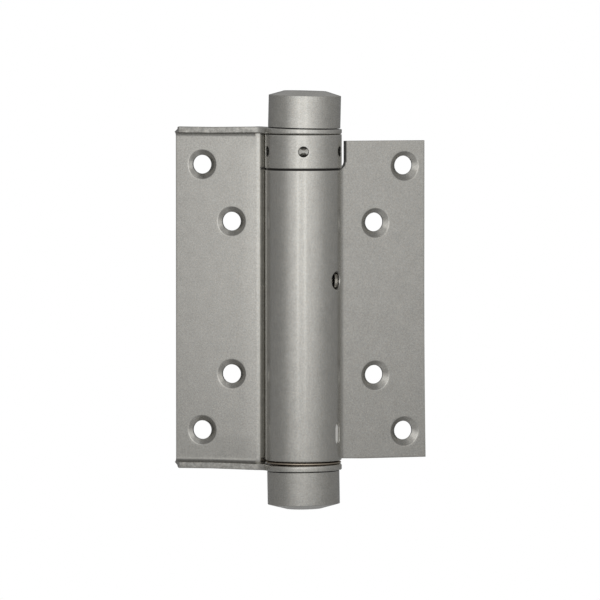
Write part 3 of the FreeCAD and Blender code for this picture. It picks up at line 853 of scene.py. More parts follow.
@dataclass
class DoorLeaf:
    """The rolled leaf: a flat leaf with a top notch that runs into the barrel.

    It is laid out along u, from its free edge through the root bend and round the barrel
    to the seam. The growth and flare of the free edge, the sag of the bottom edge and the
    offset of the screw holes are slips of the real, rolled leaf.
    """

    name: str = "door_leaf_sheet"
    thickness: float = 2.2
    face: float = 0.75
    reach: float = 47.45
    open_angle: float = 36.0
    barrel_radius: float = 13.9
    root_radius: float = 1.5
    seam_angle: float = 11.4
    bottom: float = -58.9
    barrel_top: float = 47.15
    leaf_top: float = 57.5
    notch_edge: float = 16.62
    notch_radius: float = 3.0
    rounding: float = 0.2
    edge_flare: float = 0.55
    edge_growth: float = 0.2
    flare_width: float = 3.0
    flare_top: float = 10.0
    flare_height: float = 68.0
    bottom_sag: float = 0.22
    sag_height: float = 3.0
    sag_length: float = 8.0
    screw_places: tuple[tuple[float, float], ...] = (
        (39.8, 48.1),
        (28.35, 27.3),
        (28.35, -28.7),
        (39.8, -49.5),
    )
    hole_offset: tuple[float, float] = (0.0, 0.35)
    round_hole_angle: float = -48.5
    round_hole_level: float = 6.9
    round_hole_radius: float = 3.1
    round_hole_cell: float = 4.6
    slot_angle: float = -45.5
    slot_level: float = -49.0
    slot_half_width: float = 1.65
    slot_stretch: float = 2.2
    slot_cell: tuple[float, float] = (3.4, 5.6)
    # Painted shade on the notch's cut wall and its corner, and on the root bend.
    cut_painted_shade: float = 0.95
    corner_painted_shade: float = 0.4
    bend_painted_shade: float = 0.36
    barrel_lines: float = 0.35

    def __post_init__(self) -> None:
        """Works out where the flat leaf, the root bend and the barrel start."""
        self.root_y = self.face - self.root_radius
        self.root_x = math.sqrt((self.barrel_radius + self.root_radius) ** 2 - self.root_y**2)
        self.touch_angle = math.atan2(self.root_y, self.root_x)
        self.bend_u = self.reach - self.root_x
        self.bend_turn = math.pi / 2 - self.touch_angle
        self.barrel_u = self.bend_u + self.root_radius * self.bend_turn
        roll = 2 * math.pi - math.radians(self.seam_angle) + self.touch_angle
        self.end_u = self.barrel_u + self.barrel_radius * roll
        self.table_u = np.linspace(0, self.barrel_u + self.barrel_radius, 4000)
        self.table_x = self.section(self.table_u, np.zeros(len(self.table_u)))[0]
        self.notch_u = self.meets(self.notch_edge)
        self.curve_u = self.meets(self.notch_edge - self.notch_radius)

    def section(self, u: Array, depth: Array) -> tuple[Array, Array]:
        """Rolls the sheet: straight, a hollow bend, then round the pin, all tangent.

        The bend turns from straight up to the line between its centre and the pin, and
        the barrel goes on from there clockwise, with the depth pointing to the pin.

        Args:
            u: Distance along the face from the leaf's free edge.
            depth: Depth below the face.

        Returns:
            x and y with the leaf along +X.
        """
        turn = math.pi / 2 + np.clip((u - self.bend_u) / self.root_radius, 0, self.bend_turn)
        arm = self.root_radius + depth
        roll = self.touch_angle - (u - self.barrel_u) / self.barrel_radius
        wall = self.barrel_radius - depth
        x = np.where(
            u < self.bend_u,
            self.reach - u,
            np.where(u < self.barrel_u, self.root_x + arm * np.cos(turn), wall * np.cos(roll)),
        )
        y = np.where(u < self.barrel_u, self.root_y + arm * np.sin(turn), wall * np.sin(roll))
        return x, y

    def fold(self, u: Array, v: Array, depth: Array) -> Array:
        """Rolls the sheet and swings the leaf open about the pin.

        The free edge flares outwards with the square of the way down from the flare's
        top, and the bottom edge sags a little away from the barrel.

        Args:
            u: Distance along the face from the leaf's free edge.
            v: Height.
            depth: Depth below the face.

        Returns:
            Points in space.
        """
        x, y = self.section(u, depth)
        low = np.clip((self.flare_top - v) / self.flare_height, 0, 1)
        flare = self.edge_growth + self.edge_flare * low**2
        x = x + flare * np.clip(1 - u / self.flare_width, 0, 1)
        at_bottom = np.clip((self.bottom + self.sag_height - v) / self.sag_height, 0, 1)
        v = v - self.bottom_sag * at_bottom * np.clip((self.bend_u - u) / self.sag_length, 0, 1)
        swing = math.radians(self.open_angle)
        cosine, sine = math.cos(swing), math.sin(swing)
        return np.column_stack([x * cosine - y * sine, x * sine + y * cosine, v])

    def meets(self, x: float) -> float:
        """Where the face of the laid-out sheet meets a distance from the pin along the leaf."""
        return float(np.interp(-x, -self.table_x, self.table_u))

    def place_on_barrel(self, angle: float) -> float:
        """Where a direction from the pin, with the leaf along +X, meets the laid-out sheet."""
        return self.barrel_u + self.barrel_radius * (self.touch_angle - math.radians(angle))

    def openings(self) -> list[Opening]:
        """Places four screw holes, the round hole in the barrel and the slot for the key.

        Returns:
            The openings of the laid-out sheet.
        """
        wall = ((0.0, 0.75), (0.0, 2.04), (0.05, 2.16), (0.1, 2.2))
        soft_rim = ((0.42, 0.0), (0.26, 0.05), (0.1, 0.22), (0.02, 0.5))
        crisp_rim = ((0.2, 0.0), (0.07, 0.03), (0.01, 0.14))
        # The round hole's +u wall gets full painted shade.
        hole = Opening(
            self.place_on_barrel(self.round_hole_angle),
            self.round_hole_level,
            self.round_hole_cell,
            self.round_hole_cell,
            self.round_hole_radius,
            soft_rim + wall,
            wall_radius=self.barrel_radius,
            shade=1.0,
        )
        slot = Opening(
            self.place_on_barrel(self.slot_angle),
            self.slot_level,
            *self.slot_cell,
            self.slot_half_width,
            crisp_rim + wall,
            self.slot_stretch,
            self.barrel_radius,
        )
        screws = [screw_hole(self.reach - x, z, self.hole_offset) for x, z in self.screw_places]
        return [*screws, hole, slot]

    def keep(self, u: Array, v: Array) -> Array:
        """Above the barrel's top there is only the leaf."""
        return (v < self.barrel_top) | (u < self.notch_u)

    def mark(self, u: Array, v: Array, share: Array) -> Array:
        """The notch's cut edge and the root bend get painted shade, and the barrel's grain runs
        upright.

        In the notch's rounded corner only the arc itself gets painted shade, softly on its faces.

        Args:
            u: Distance along the face from the leaf's free edge.
            v: Height.
            share: 1 on the sheet's edge, and 0 on its faces.

        Returns:
            The points' marks.
        """
        cut = (v > self.barrel_top - NEAR) & (u > self.notch_u - NEAR)
        corner = (u < self.curve_u) & (v < self.barrel_top + self.notch_radius)
        across = np.interp(u, self.table_u, self.table_x) - (self.notch_edge - self.notch_radius)
        away = np.hypot(across, v - self.barrel_top - self.notch_radius)
        on_arc = self.corner_painted_shade * (away < self.notch_radius + 2 * NEAR)
        on_face = np.where(corner, on_arc, self.cut_painted_shade * (v > self.barrel_top + NEAR))
        places = [self.bend_u - BARREL_GRID, self.bend_u, self.barrel_u, self.barrel_u + 1]
        bend = np.interp(u, places, [0, self.bend_painted_shade, self.bend_painted_shade, 0])
        dark = np.maximum(cut * np.maximum(self.cut_painted_shade * share, on_face), bend)
        return marks(len(u), edge=share, dark=dark, rolled=self.barrel_lines * (u > self.barrel_u))

    def notch_corner(self, quilt: Quilt) -> tuple[Array, Array]:
        """Fills the notch's corner: a quarter circle between the barrel's top and the leaf.

        The corner is round as seen square to the leaf, so its arc is worked out in x and
        z and then laid back on the flat sheet.

        Args:
            quilt: The sheet's grid.

        Returns:
            The arc's own points as (u, v), and the faces between the arc and the grid.
        """
        high = self.barrel_top + self.notch_radius
        i = np.arange(quilt.line(self.curve_u), quilt.line(self.notch_u), -1)
        j = np.arange(quilt.row(self.barrel_top), quilt.row(high) + 1)
        up = quilt.line(self.notch_u) * quilt.columns + j
        leg = np.concatenate([i * quilt.columns + j[0], up])
        turn = np.linspace(0, np.pi / 2, len(leg))
        arc_x = self.notch_edge - self.notch_radius * (1 - np.sin(turn))
        arc_v = self.barrel_top + self.notch_radius * (1 - np.cos(turn))
        arc = np.column_stack([np.interp(-arc_x, -self.table_x, self.table_u), arc_v])[1:-1]
        curve = np.concatenate([leg[:1], len(quilt.flat) + np.arange(len(arc)), leg[-1:]])
        return arc, np.column_stack([leg[:-1], leg[1:], curve[1:], curve[:-1]])

    def sheet(self) -> Sheet:
        """Lays out the leaf and the barrel, with the notch's rounded corner as a patch.

        Returns:
            The sheet.
        """
        holes = self.openings()
        u_stops = [0.0, MARGIN, self.notch_u, self.bend_u, self.barrel_u, self.curve_u]
        u_stops += [self.end_u - MARGIN, self.end_u]
        u_stops += [hole.u + hole.reach_u * way for hole in holes for way in (-1, 1)]
        bend = np.linspace(self.bend_u, self.barrel_u, 11)
        u_lines = np.concatenate([subdivide(u_stops, BARREL_GRID), bend])
        v_stops = [self.bottom, self.bottom + MARGIN, self.barrel_top - MARGIN, self.barrel_top]
        v_stops += [self.barrel_top + self.notch_radius, self.leaf_top - MARGIN, self.leaf_top]
        v_stops += [hole.v + hole.reach_v * way for hole in holes for way in (-1, 1)]
        v_lines = subdivide(v_stops, GRID)
        quilt = Quilt(np.unique(np.round(u_lines, 6)), v_lines, holes, self.keep)
        arc, faces = self.notch_corner(quilt)
        return Sheet(quilt, self.thickness, self.rounding, self.mark, None, arc, faces)

    def build(self) -> bpy.types.Object:
        """Makes the whole leaf with its barrel.

        Returns:
            Its object.
        """
        patches = Patchwork()
        self.sheet().build(patches, self.fold)
        return patches.build(self.name)


# ---------------------------------------------------------------- collar, caps, washer


@dataclass
class TensionCollar:
    """The round collar with five blind holes, its spigot and the spring's nose below it."""

    name: str = "tension_collar_turned"
    radius: float = 13.95
    bottom: float = 47.8
    top: float = 60.0
    bore_radius: float = 5.05
    spigot_radius: float = 9.0
    spigot_length: float = 9.6
    nose_radius: float = 7.2
    nose_bore_radius: float = 5.4
    nose_length: float = 8.0
    chamfer: float = 0.18
    ring_width: float = 1.2
    hole_radius: float = 1.9
    hole_depth: float = 6.5
    hole_count: int = 5
    hole_cell: float = 3.2
    # Painted shade down the blind holes, set by depth.
    shade_depths: tuple[float, ...] = (0.0, 0.3, 3.0)
    hole_painted_shade: tuple[float, ...] = (0.0, 0.5, 0.75, 0.35)
    first_hole: float = -74.0
    grid: float = 0.5

    def fold(self, u: Array, v: Array, depth: Array) -> Array:
        """Wraps the skin round the pin, starting half a pitch before the first hole.

        Args:
            u: Distance round the skin.
            v: Height.
            depth: Depth below the skin.

        Returns:
            Points in space.
        """
        turn = u / self.radius + math.radians(self.first_hole - 180 / self.hole_count)
        arm = self.radius - depth
        return np.column_stack([arm * np.cos(turn), arm * np.sin(turn), v])

    def skin(self) -> Quilt:
        """Lays out the skin with its drilled holes.

        Returns:
            The skin, one turn long.
        """
        middle = (self.top + self.bottom) / 2
        low, high = self.bottom + self.chamfer, self.top - self.chamfer
        pitch = 2 * math.pi * self.radius / self.hole_count
        rim = ((0.2, 0.0), (0.07, 0.03), (0.0, 0.16), (0.0, self.hole_depth - 0.2))
        end = ((-0.15, self.hole_depth), (-self.hole_radius, self.hole_depth + 0.5))
        cell = self.hole_cell
        holes = [
            Opening(
                pitch * (number + 0.5),
                middle,
                cell,
                cell,
                self.hole_radius,
                rim + end,
                wall_radius=self.radius,
            )
            for number in range(self.hole_count)
        ]
        u_stops = [0.0, pitch * self.hole_count]
        u_stops += [hole.u + hole.reach_u * way for hole in holes for way in (-1, 1)]
        v_lines = subdivide([low, middle - cell, middle + cell, high], self.grid)
        return Quilt(subdivide(u_stops, self.grid), v_lines, holes, everywhere)

    def build(self) -> bpy.types.Object:
        """Makes the skin with its drilled holes, then the turned rest of the collar.

        Returns:
            The collar's object.
        """
        patches = Patchwork()
        skin = self.skin()
        patches.add(self.fold(*skin.flat.T, np.zeros(len(skin.flat))), skin.faces)
        for hole in skin.openings:
            points, faces, share = skin.hole_patch(hole, None)
            depths = [*self.shade_depths, self.hole_depth]
            dark = np.interp(points[:, 2], depths, self.hole_painted_shade)
            patches.add(self.fold(*points.T), faces, marks(len(points), edge=share, dark=dark))
        self.add_core(patches, skin.u_lines)
        return patches.build(self.name)

    def add_core(self, patches: Patchwork, u_lines: Array) -> None:
        """Everything but the skin: chamfers, end faces, bore, spigot and nose, turned.

        Args:
            patches: Where the patch goes.
            u_lines: The skin's lines round the pin, so that both share their points.
        """
        foot = self.bottom - self.spigot_length
        tip = foot - self.nose_length
        chamfer, hair = self.chamfer, 0.03
        soft = chamfer * 0.4
        outline = [
            (self.radius, self.top - chamfer),
            (self.radius - hair, self.top - soft),
            (self.radius - soft, self.top - hair),
            (self.radius - chamfer, self.top),
            (self.radius - self.ring_width, self.top),
            (self.bore_radius, self.top),
            (self.bore_radius, foot),
            (self.nose_bore_radius, foot),
            (self.nose_bore_radius, tip),
            (self.nose_radius, tip),
            (self.nose_radius, foot),
            (self.spigot_radius, foot),
            (self.spigot_radius, self.bottom),
            (self.radius - self.ring_width, self.bottom),
            (self.radius - chamfer, self.bottom),
            (self.radius - soft, self.bottom + hair),
            (self.radius - hair, self.bottom + soft),
            (self.radius, self.bottom + chamfer),
        ]
        radii, levels = np.array(outline).T
        u, arm = np.meshgrid(u_lines, radii, indexing="ij")
        level = np.broadcast_to(levels, u.shape)
        points = self.fold(u.ravel(), level.ravel(), self.radius - arm.ravel())
        edge = np.zeros(len(radii))
        edge[[1, 2, -2, -3]] = 1
        marked = marks(len(points), edge=np.tile(edge, len(u_lines)))
        patches.add(points, lattice(len(u_lines), len(radii)), marked)


@dataclass
class Cap:
    """A round end cap with a coned edge, set on the pin's end a little askew."""

    name: str
    way: int
    base: float
    shoulder: float
    height: float
    flat_radius: float
    lean: float
    shift: tuple[float, float]
    radius: float = 13.2
    bore_radius: float = 5.5
    bore_depth: float = 9.7
    easing: tuple[float, ...] = (0.1, 0.15, 0.2, 0.15, 0.0, 0.0, 0.1)

    def build(self) -> bpy.types.Object:
        """Turns the cap's eased half section and sets it on its ear.

        Returns:
            The cap's object.
        """
        corners = np.array(
            [
                (self.bore_radius, 0.0),
                (self.radius, 0.0),
                (self.radius, self.shoulder),
                (self.flat_radius, self.height),
                (0.0, self.height),
                (0.0, self.bore_depth),
                (self.bore_radius, self.bore_depth),
            ]
        )
        outline = round_corners(corners, np.array(self.easing), 7)
        outline[:, 0] = np.maximum(outline[:, 0], 0)
        points, faces = revolve(outline, ROUND_STEPS)
        # Painted shade on the cap's foot, where it sits on the ear.
        foot_painted_shade = marks(len(points), dark=points[:, 2] < self.easing[0])
        points[:, 2] *= self.way
        cosine, sine = math.cos(math.radians(self.lean)), math.sin(math.radians(self.lean))
        x, y, z = points.T
        points = np.column_stack([x * cosine + z * sine, y, z * cosine - x * sine])
        points += np.array([*self.shift, self.way * self.base])
        patches = Patchwork()
        patches.add(points, faces, foot_painted_shade)
        return patches.build(self.name)


TOP_CAP = Cap(
    "top_cap_turned",
    way=1,
    base=62.5,
    shoulder=11.75,
    height=13.4,
    flat_radius=7.7,
    lean=1.3,
    shift=(0.24, 0.07),
)
BOTTOM_CAP = Cap(
    "bottom_cap_turned",
    way=-1,
    base=62.9,
    shoulder=12.08,
    height=13.82,
    flat_radius=6.6,
    lean=-0.95,
    shift=(-0.08, -0.02),
)


@dataclass
class ThrustWasher:
    """The brass washer between the barrel's lower end and the bottom ear."""

    name: str = "thrust_washer_turned"
    bottom: float = -60.25
    top: float = -59.15
    bore_radius: float = 5.15
    radius: float = 13.75
    bevel: float = 1.2
    bevel_height: float = 0.33
    easing: tuple[float, ...] = (0.1, 0.2, 0.15, 0.15, 0.2, 0.1)
    # Painted shade, darker the further round from the lit front.
    lit_front_angle: float = -74.0
    shade_reach: tuple[float, float] = (12.0, 60.0)
    washer_painted_shade: float = 0.35

    def build(self) -> bpy.types.Object:
        """Turns the washer's section, bevelled at the rim, with painted shade on all but its
        front.

        Returns:
            The washer's object.
        """
        corners = np.array(
            [
                (self.bore_radius, self.bottom),
                (self.radius - self.bevel, self.bottom),
                (self.radius, self.bottom + self.bevel_height),
                (self.radius, self.top - self.bevel_height),
                (self.radius - self.bevel, self.top),
                (self.bore_radius, self.top),
            ]
        )
        points, faces = revolve(round_corners(corners, np.array(self.easing)), ROUND_STEPS)
        away = np.degrees(np.arctan2(points[:, 1], points[:, 0])) - self.lit_front_angle
        washer_painted_shade = np.interp(np.abs((away + 180) % 360 - 180), self.shade_reach, [0.0, self.washer_painted_shade])
        patches = Patchwork()
        patches.add(points, faces, marks(len(points), dark=washer_painted_shade))
        return patches.build(self.name)


# ---------------------------------------------------------------- finishes


def node(tree: bpy.types.NodeTree, kind: str, **values: object) -> bpy.types.Node:
    """Adds a shader node and sets its properties, or its sockets by number or name.

    Args:
        tree: The node tree.
        kind: Blender's node type, without the word ShaderNode.
        **values: Properties by name; a name that starts with socket_ sets an input.

    Returns:
        The node.
    """
    made = tree.nodes.new(f"ShaderNode{kind}")
    for name, value in values.items():
        if name.startswith("socket_"):
            key = name.removeprefix("socket_")
            made.inputs[int(key) if key.isdigit() else key.replace("_", " ")].default_value = value
        else:
            setattr(made, name, value)
    return made


@dataclass
class Formula:
    """Arithmetic in a shader tree: each method adds nodes and gives their output."""

    tree: bpy.types.NodeTree

    def put(self, term: Term, socket: bpy.types.NodeSocket) -> None:
        """Feeds a socket.

        Args:
            term: A number or a colour, or another node's output.
            socket: The socket that takes it.
        """
        if isinstance(term, bpy.types.NodeSocket):
            self.tree.links.new(term, socket)
        else:
            socket.default_value = term

    def noise(
        self, place: bpy.types.NodeSocket, scale: Term, detail: float, roughness: float = 0.5
    ) -> bpy.types.NodeSocket:
        """Noise of a place.

        Args:
            place: Where it is read.
            scale: How fine it is.
            detail: How many finer layers it has.
            roughness: How strong they are.

        Returns:
            The socket of its value, from 0 to 1.
        """
        made = node(self.tree, "TexNoise", socket_Detail=detail, socket_Roughness=roughness)
        self.put(place, made.inputs["Vector"])
        self.put(scale, made.inputs["Scale"])
        return made.outputs["Fac"]

    def mix(self, share: Term, first: Term, second: Term) -> bpy.types.NodeSocket:
        """A number that goes from the first to the second as the share goes from 0 to 1.

        Args:
            share: The share of the second.
            first: The first number.
            second: The second number.

        Returns:
            The result's socket.
        """
        made = node(self.tree, "Mix", data_type="FLOAT")
        for number, term in zip((0, 2, 3), (share, first, second)):
            self.put(term, made.inputs[number])
        return made.outputs[0]

    def blend(self, way: str, share: Term, first: Term, second: Term) -> bpy.types.NodeSocket:
        """A blend of two colours.

        Args:
            way: Blender's name of the blend.
            share: Its strength.
            first: The first colour.
            second: The second colour.

        Returns:
            The result's socket.
        """
        made = node(self.tree, "Mix", data_type="RGBA", blend_type=way)
        for number, term in zip((0, 6, 7), (share, first, second)):
            self.put(term, made.inputs[number])
        return made.outputs[2]

    def calc(self, operation: str, *terms: Term) -> bpy.types.NodeSocket:
        """One maths node.

        Args:
            operation: Blender's name of the operation.
            *terms: Its inputs in order, as numbers or as other nodes' outputs.

        Returns:
            The result's socket.
        """
        made = node(self.tree, "Math", operation=operation)
        for socket, term in zip(made.inputs, terms):
            self.put(term, socket)
        return made.outputs[0]

    def bell(
        self, angle: bpy.types.NodeSocket, centre: float, width: float
    ) -> bpy.types.NodeSocket:
        """A bell curve of an angle: e to the power of minus ((angle - centre) / width) squared.

        Args:
            angle: The angle, in radians.
            centre: Angle of the bell's top.
            width: Its width.

        Returns:
            The result's socket.
        """
        away = self.calc("WRAP", self.calc("SUBTRACT", angle, centre), math.pi, -math.pi)
        share = self.calc("DIVIDE", away, width)
        square = self.calc("MULTIPLY", share, share)
        return self.calc("EXPONENT", self.calc("MULTIPLY", square, -1.0))

    def curve(
        self, value: bpy.types.NodeSocket, stops: tuple[tuple[float, float], ...]
    ) -> bpy.types.NodeSocket:
        """A curve that eases from each (value, result) stop to the next.

        Args:
            value: Where the curve is read.
            stops: The curve's stops in rising order.

        Returns:
            The result's socket.
        """
        total = stops[0][1]
        for (start, low), (end, high) in zip(stops[:-1], stops[1:]):
            if low == high:
                continue
            step = node(
                self.tree,
                "MapRange",
                interpolation_type="SMOOTHSTEP",
                socket_From_Min=start,
                socket_From_Max=end,
                socket_To_Max=high - low,
            )
            self.tree.links.new(value, step.inputs["Value"])
            total = self.calc("ADD", step.outputs["Result"], total)
        return total


class GrainGroup:
    """Metal grain: speckle, lines left by turning or rolling, the marks of its edges, and painted
    shade.
    """

    NAME = "metal_grain"
    NUMBERS = ("Grain", "Contrast", "Roughness", "Relief", "Lines", "Edge", "Dark", "Torn")
    CLOUD_SCALE = 240.0
    CLOUD_SHARE = 0.35
    MEAN = 0.675
    HUE_SCALE = 1500.0
    WARM = (1.035, 1.0, 0.955, 1.0)
    COOL = (0.965, 1.005, 1.03, 1.0)
    CHIP_SCALE = 520.0
    PAINTED_SHADE_FACTOR = -0.9
    WEAR = 0.05
    GRAIN_ROUGHNESS = 0.12
    TORN_ROUGHNESS = 0.15
    RELIEF_DEPTH = 0.00004

    @classmethod
    def get(cls) -> bpy.types.ShaderNodeTree:
        """The node group, built on its first use."""
        return bpy.data.node_groups.get(cls.NAME) or cls.make()

    @classmethod
    def empty(cls) -> bpy.types.ShaderNodeTree:
        """Makes the empty group with its sockets.

        Returns:
            The group, with Color, Stretch and NUMBERS in, and Color, Roughness and
            Normal out. Stretch squeezes the noise of the lines along each axis.
        """
        tree = bpy.data.node_groups.new(cls.NAME, "ShaderNodeTree")
        interface = tree.interface
        interface.new_socket("Color", in_out="INPUT", socket_type="NodeSocketColor")
        interface.new_socket("Stretch", in_out="INPUT", socket_type="NodeSocketVector")
        for name in cls.NUMBERS:
            interface.new_socket(name, in_out="INPUT", socket_type="NodeSocketFloat")
        interface.new_socket("Color", in_out="OUTPUT", socket_type="NodeSocketColor")
        interface.new_socket("Roughness", in_out="OUTPUT", socket_type="NodeSocketFloat")
        interface.new_socket("Normal", in_out="OUTPUT", socket_type="NodeSocketVector")
        return tree

    @classmethod
    def make(cls) -> bpy.types.ShaderNodeTree:
        """Builds the group from noises of the object's own coordinates.

        The shade is 1 plus the contrast times (flake + cloud share * cloud - their mean),
        and the flake goes from round speckle to lines.

        Returns:
            The group.
        """
        tree = cls.empty()
        formula = Formula(tree)
        given = tree.nodes.new("NodeGroupInput").outputs
        result = tree.nodes.new("NodeGroupOutput").inputs
        place = node(tree, "TexCoord").outputs["Object"]
        squeezed = node(tree, "VectorMath", operation="MULTIPLY")
        formula.put(place, squeezed.inputs[0])
        formula.put(given["Stretch"], squeezed.inputs[1])
        speckle = formula.noise(place, given["Grain"], detail=2.0, roughness=0.65)
        lines = formula.noise(squeezed.outputs[0], given["Grain"], detail=3.0, roughness=0.6)
        flake = formula.mix(given["Lines"], speckle, lines)
        cloud = formula.noise(place, cls.CLOUD_SCALE, detail=4.0, roughness=0.6)
        both = formula.calc("MULTIPLY_ADD", cloud, cls.CLOUD_SHARE, flake)
        grain = formula.calc("SUBTRACT", both, cls.MEAN)
        shade = formula.calc("MULTIPLY_ADD", grain, given["Contrast"], 1.0)
        for factor in cls.mark_factors(formula, given, place):
            shade = formula.calc("MULTIPLY", shade, factor)
        warmth = formula.noise(place, cls.HUE_SCALE, detail=1.0)
        hue = formula.blend("MIX", warmth, cls.WARM, cls.COOL)
        tint = formula.blend("MULTIPLY", 1.0, given["Color"], shade)
        formula.put(formula.blend("MULTIPLY", 1.0, tint, hue), result["Color"])
        rough = formula.calc("MULTIPLY_ADD", grain, cls.GRAIN_ROUGHNESS, given["Roughness"])
        rough = formula.calc("MULTIPLY_ADD", given["Torn"], cls.TORN_ROUGHNESS, rough)
        formula.put(rough, result["Roughness"])
        bump = node(tree, "Bump", socket_Distance=cls.RELIEF_DEPTH)
        formula.put(flake, bump.inputs["Height"])
        formula.put(given["Relief"], bump.inputs["Strength"])
        formula.put(bump.outputs["Normal"], result["Normal"])
        return tree

    @classmethod
    def mark_factors(
        cls,
        formula: Formula,
        given: bpy.types.bpy_prop_collection,
        place: bpy.types.NodeSocket,
    ) -> tuple[bpy.types.NodeSocket, ...]:
        """Factors that lay on painted shade, lighten worn edges and mottle torn ones.

        Args:
            formula: Arithmetic in the group's tree.
            given: The group's inputs.
            place: The object's own coordinates.

        Returns:
            One factor of the shade for each.
        """
        chips = formula.noise(place, cls.CHIP_SCALE, detail=5.0, roughness=0.75)
        tone = node(
            formula.tree,
            "MapRange",
            clamp=True,
            socket_From_Min=0.38,
            socket_From_Max=0.62,
            socket_To_Min=0.62,
            socket_To_Max=1.1,
        )
        formula.put(chips, tone.inputs["Value"])
        return (
            formula.calc("MULTIPLY_ADD", given["Dark"], cls.PAINTED_SHADE_FACTOR, 1.0),
            formula.calc("MULTIPLY_ADD", given["Edge"], cls.WEAR, 1.0),
            formula.mix(given["Torn"], 1.0, tone.outputs["Result"]),
        )


@dataclass(frozen=True)
class Finish:
    """One metal finish: its colour, grain, gloss and the lines of its making."""

    name: str
    slot: Slot
    colour: tuple[float, float, float]
    metallic: float
    roughness: float
    grain: float = 2600.0
    contrast: float = 0.35
    relief: float = 0.25
    coat: float = 0.0
    coat_roughness: float = 0.2
    lines: float = 0.0
    stretch: tuple[float, float, float] = (1.0, 1.0, 1.0)
    marks: tuple[str, ...] = ()

    def material(self) -> bpy.types.Material:
        """The finish as a material, made once."""
        return bpy.data.materials.get(self.name) or self.make()

    def make(self) -> bpy.types.Material:
        """Builds the material round the grain group.

        The finish reads the marks that it names from the piece's points, and a finish
        that names rolled lays its lines only there.

        Returns:
            The material.
        """
        made = bpy.data.materials.new(self.name)
        made.use_nodes = True
        tree = made.node_tree
        shader = tree.nodes["Principled BSDF"]
        grain = tree.nodes.new("ShaderNodeGroup")
        grain.node_tree = GrainGroup.get()
        grain.inputs["Color"].default_value = (*self.colour, 1.0)
        grain.inputs["Stretch"].default_value = self.stretch
        for name in ("Grain", "Contrast", "Roughness", "Relief", "Lines"):
            grain.inputs[name].default_value = getattr(self, name.lower())
        for name in self.marks:
            reader = node(tree, "Attribute", attribute_name=name)
            tree.links.new(reader.outputs["Fac"], grain.inputs[MARK_SOCKETS[name]])
        tree.links.new(grain.outputs["Color"], shader.inputs["Base Color"])
        tree.links.new(grain.outputs["Roughness"], shader.inputs["Roughness"])
        tree.links.new(grain.outputs["Normal"], shader.inputs["Normal"])
        shader.inputs["Metallic"].default_value = self.metallic
        shader.inputs["Coat Weight"].default_value = self.coat
        shader.inputs["Coat Roughness"].default_value = self.coat_roughness
        made.diffuse_color = (*self.colour, 1.0)
        return made


SILVER = (0.53, 0.517, 0.486)
SHEET_PAINT = Finish(
    "silver_paint_on_sheet",
    Slot.SILVER_PAINT,
    SILVER,
    metallic=0.95,
    roughness=0.21,
    grain=1700.0,
    contrast=0.6,
    coat=0.2,
    coat_roughness=0.12,
    stretch=(1.0, 1.0, 0.15),
    marks=("edge", "dark", "torn", "rolled"),
)
TURNED_PAINT = Finish(
    "silver_paint_on_turned_steel",
    Slot.SILVER_PAINT,
    SILVER,
    metallic=0.95,
    roughness=0.21,
    grain=1900.0,
    contrast=0.75,
    coat=0.2,
    coat_roughness=0.12,
    lines=0.3,
    stretch=(0.3, 0.3, 1.0),
    marks=("edge", "dark"),
)
# The key wears the silver paint; this paler, less metallic copy is painted highlight for its
# bright look.
KEY_LIT_PAINT = Finish(
    "pale_key_paint", Slot.SILVER_PAINT, (0.66, 0.65, 0.63), metallic=0.15, roughness=0.4
)
# Near black, as painted shade for the dark gaps above and below the collar.
GAP_SHADE_SHIM = Finish(
    "oil_black_shim", Slot.SPRING_STEEL, (0.045, 0.042, 0.04), metallic=0.9, roughness=0.5
)
BRIGHT_STEEL = Finish(
    "ground_steel", Slot.BRIGHT_STEEL, (0.55, 0.55, 0.56), metallic=1.0, roughness=0.28
)
# Brighter than plain steel, as painted highlight for the bright spot seen through the barrel's
# round hole.
SPRING_STEEL = Finish(
    "oiled_spring_steel", Slot.SPRING_STEEL, (0.8, 0.78, 0.75), metallic=1.0, roughness=0.25
)
BRASS = Finish(
    "dull_brass", Slot.BRASS, (0.58, 0.5, 0.405), metallic=1.0, roughness=0.3, marks=("dark",)
)
BRONZE = Finish(
    "sintered_bronze", Slot.BRONZE, (0.55, 0.37, 0.2), metallic=1.0, roughness=0.5
)


def dress(piece: bpy.types.Object, finish: Finish) -> None:
    """Gives a piece or a CAD node its finish.

    Args:
        piece: The object.
        finish: Its finish.
    """
    if piece.data.materials:
        for number in range(len(piece.data.materials)):
            piece.data.materials[number] = finish.material()
    else:
        piece.data.materials.append(finish.material())


def settle(piece: bpy.types.Object, body: Body, finish: Finish, *nodes: str) -> None:
    """Lets a new piece ride on its body in place of the CAD nodes that it stands for.

    Args:
        piece: The new piece.
        body: The body that it moves with.
        finish: Its finish.
        *nodes: CAD nodes that it replaces.
    """
    dress(piece, finish)
    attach(piece, body.value)
    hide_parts(*nodes)
    log.info("%s rides on %s for %s", piece.name, body.value, ", ".join(nodes))


# ---------------------------------------------------------------- studio


@dataclass(frozen=True)
class Glow:
    """Bells of light round the hinge, and how strong they are at each height.

    A bell is (direction in degrees, width in degrees, strength), and a level is
    (height in metres, share).
    """

    bells: tuple[tuple[float, float, float], ...]
    levels: tuple[tuple[float, float], ...]


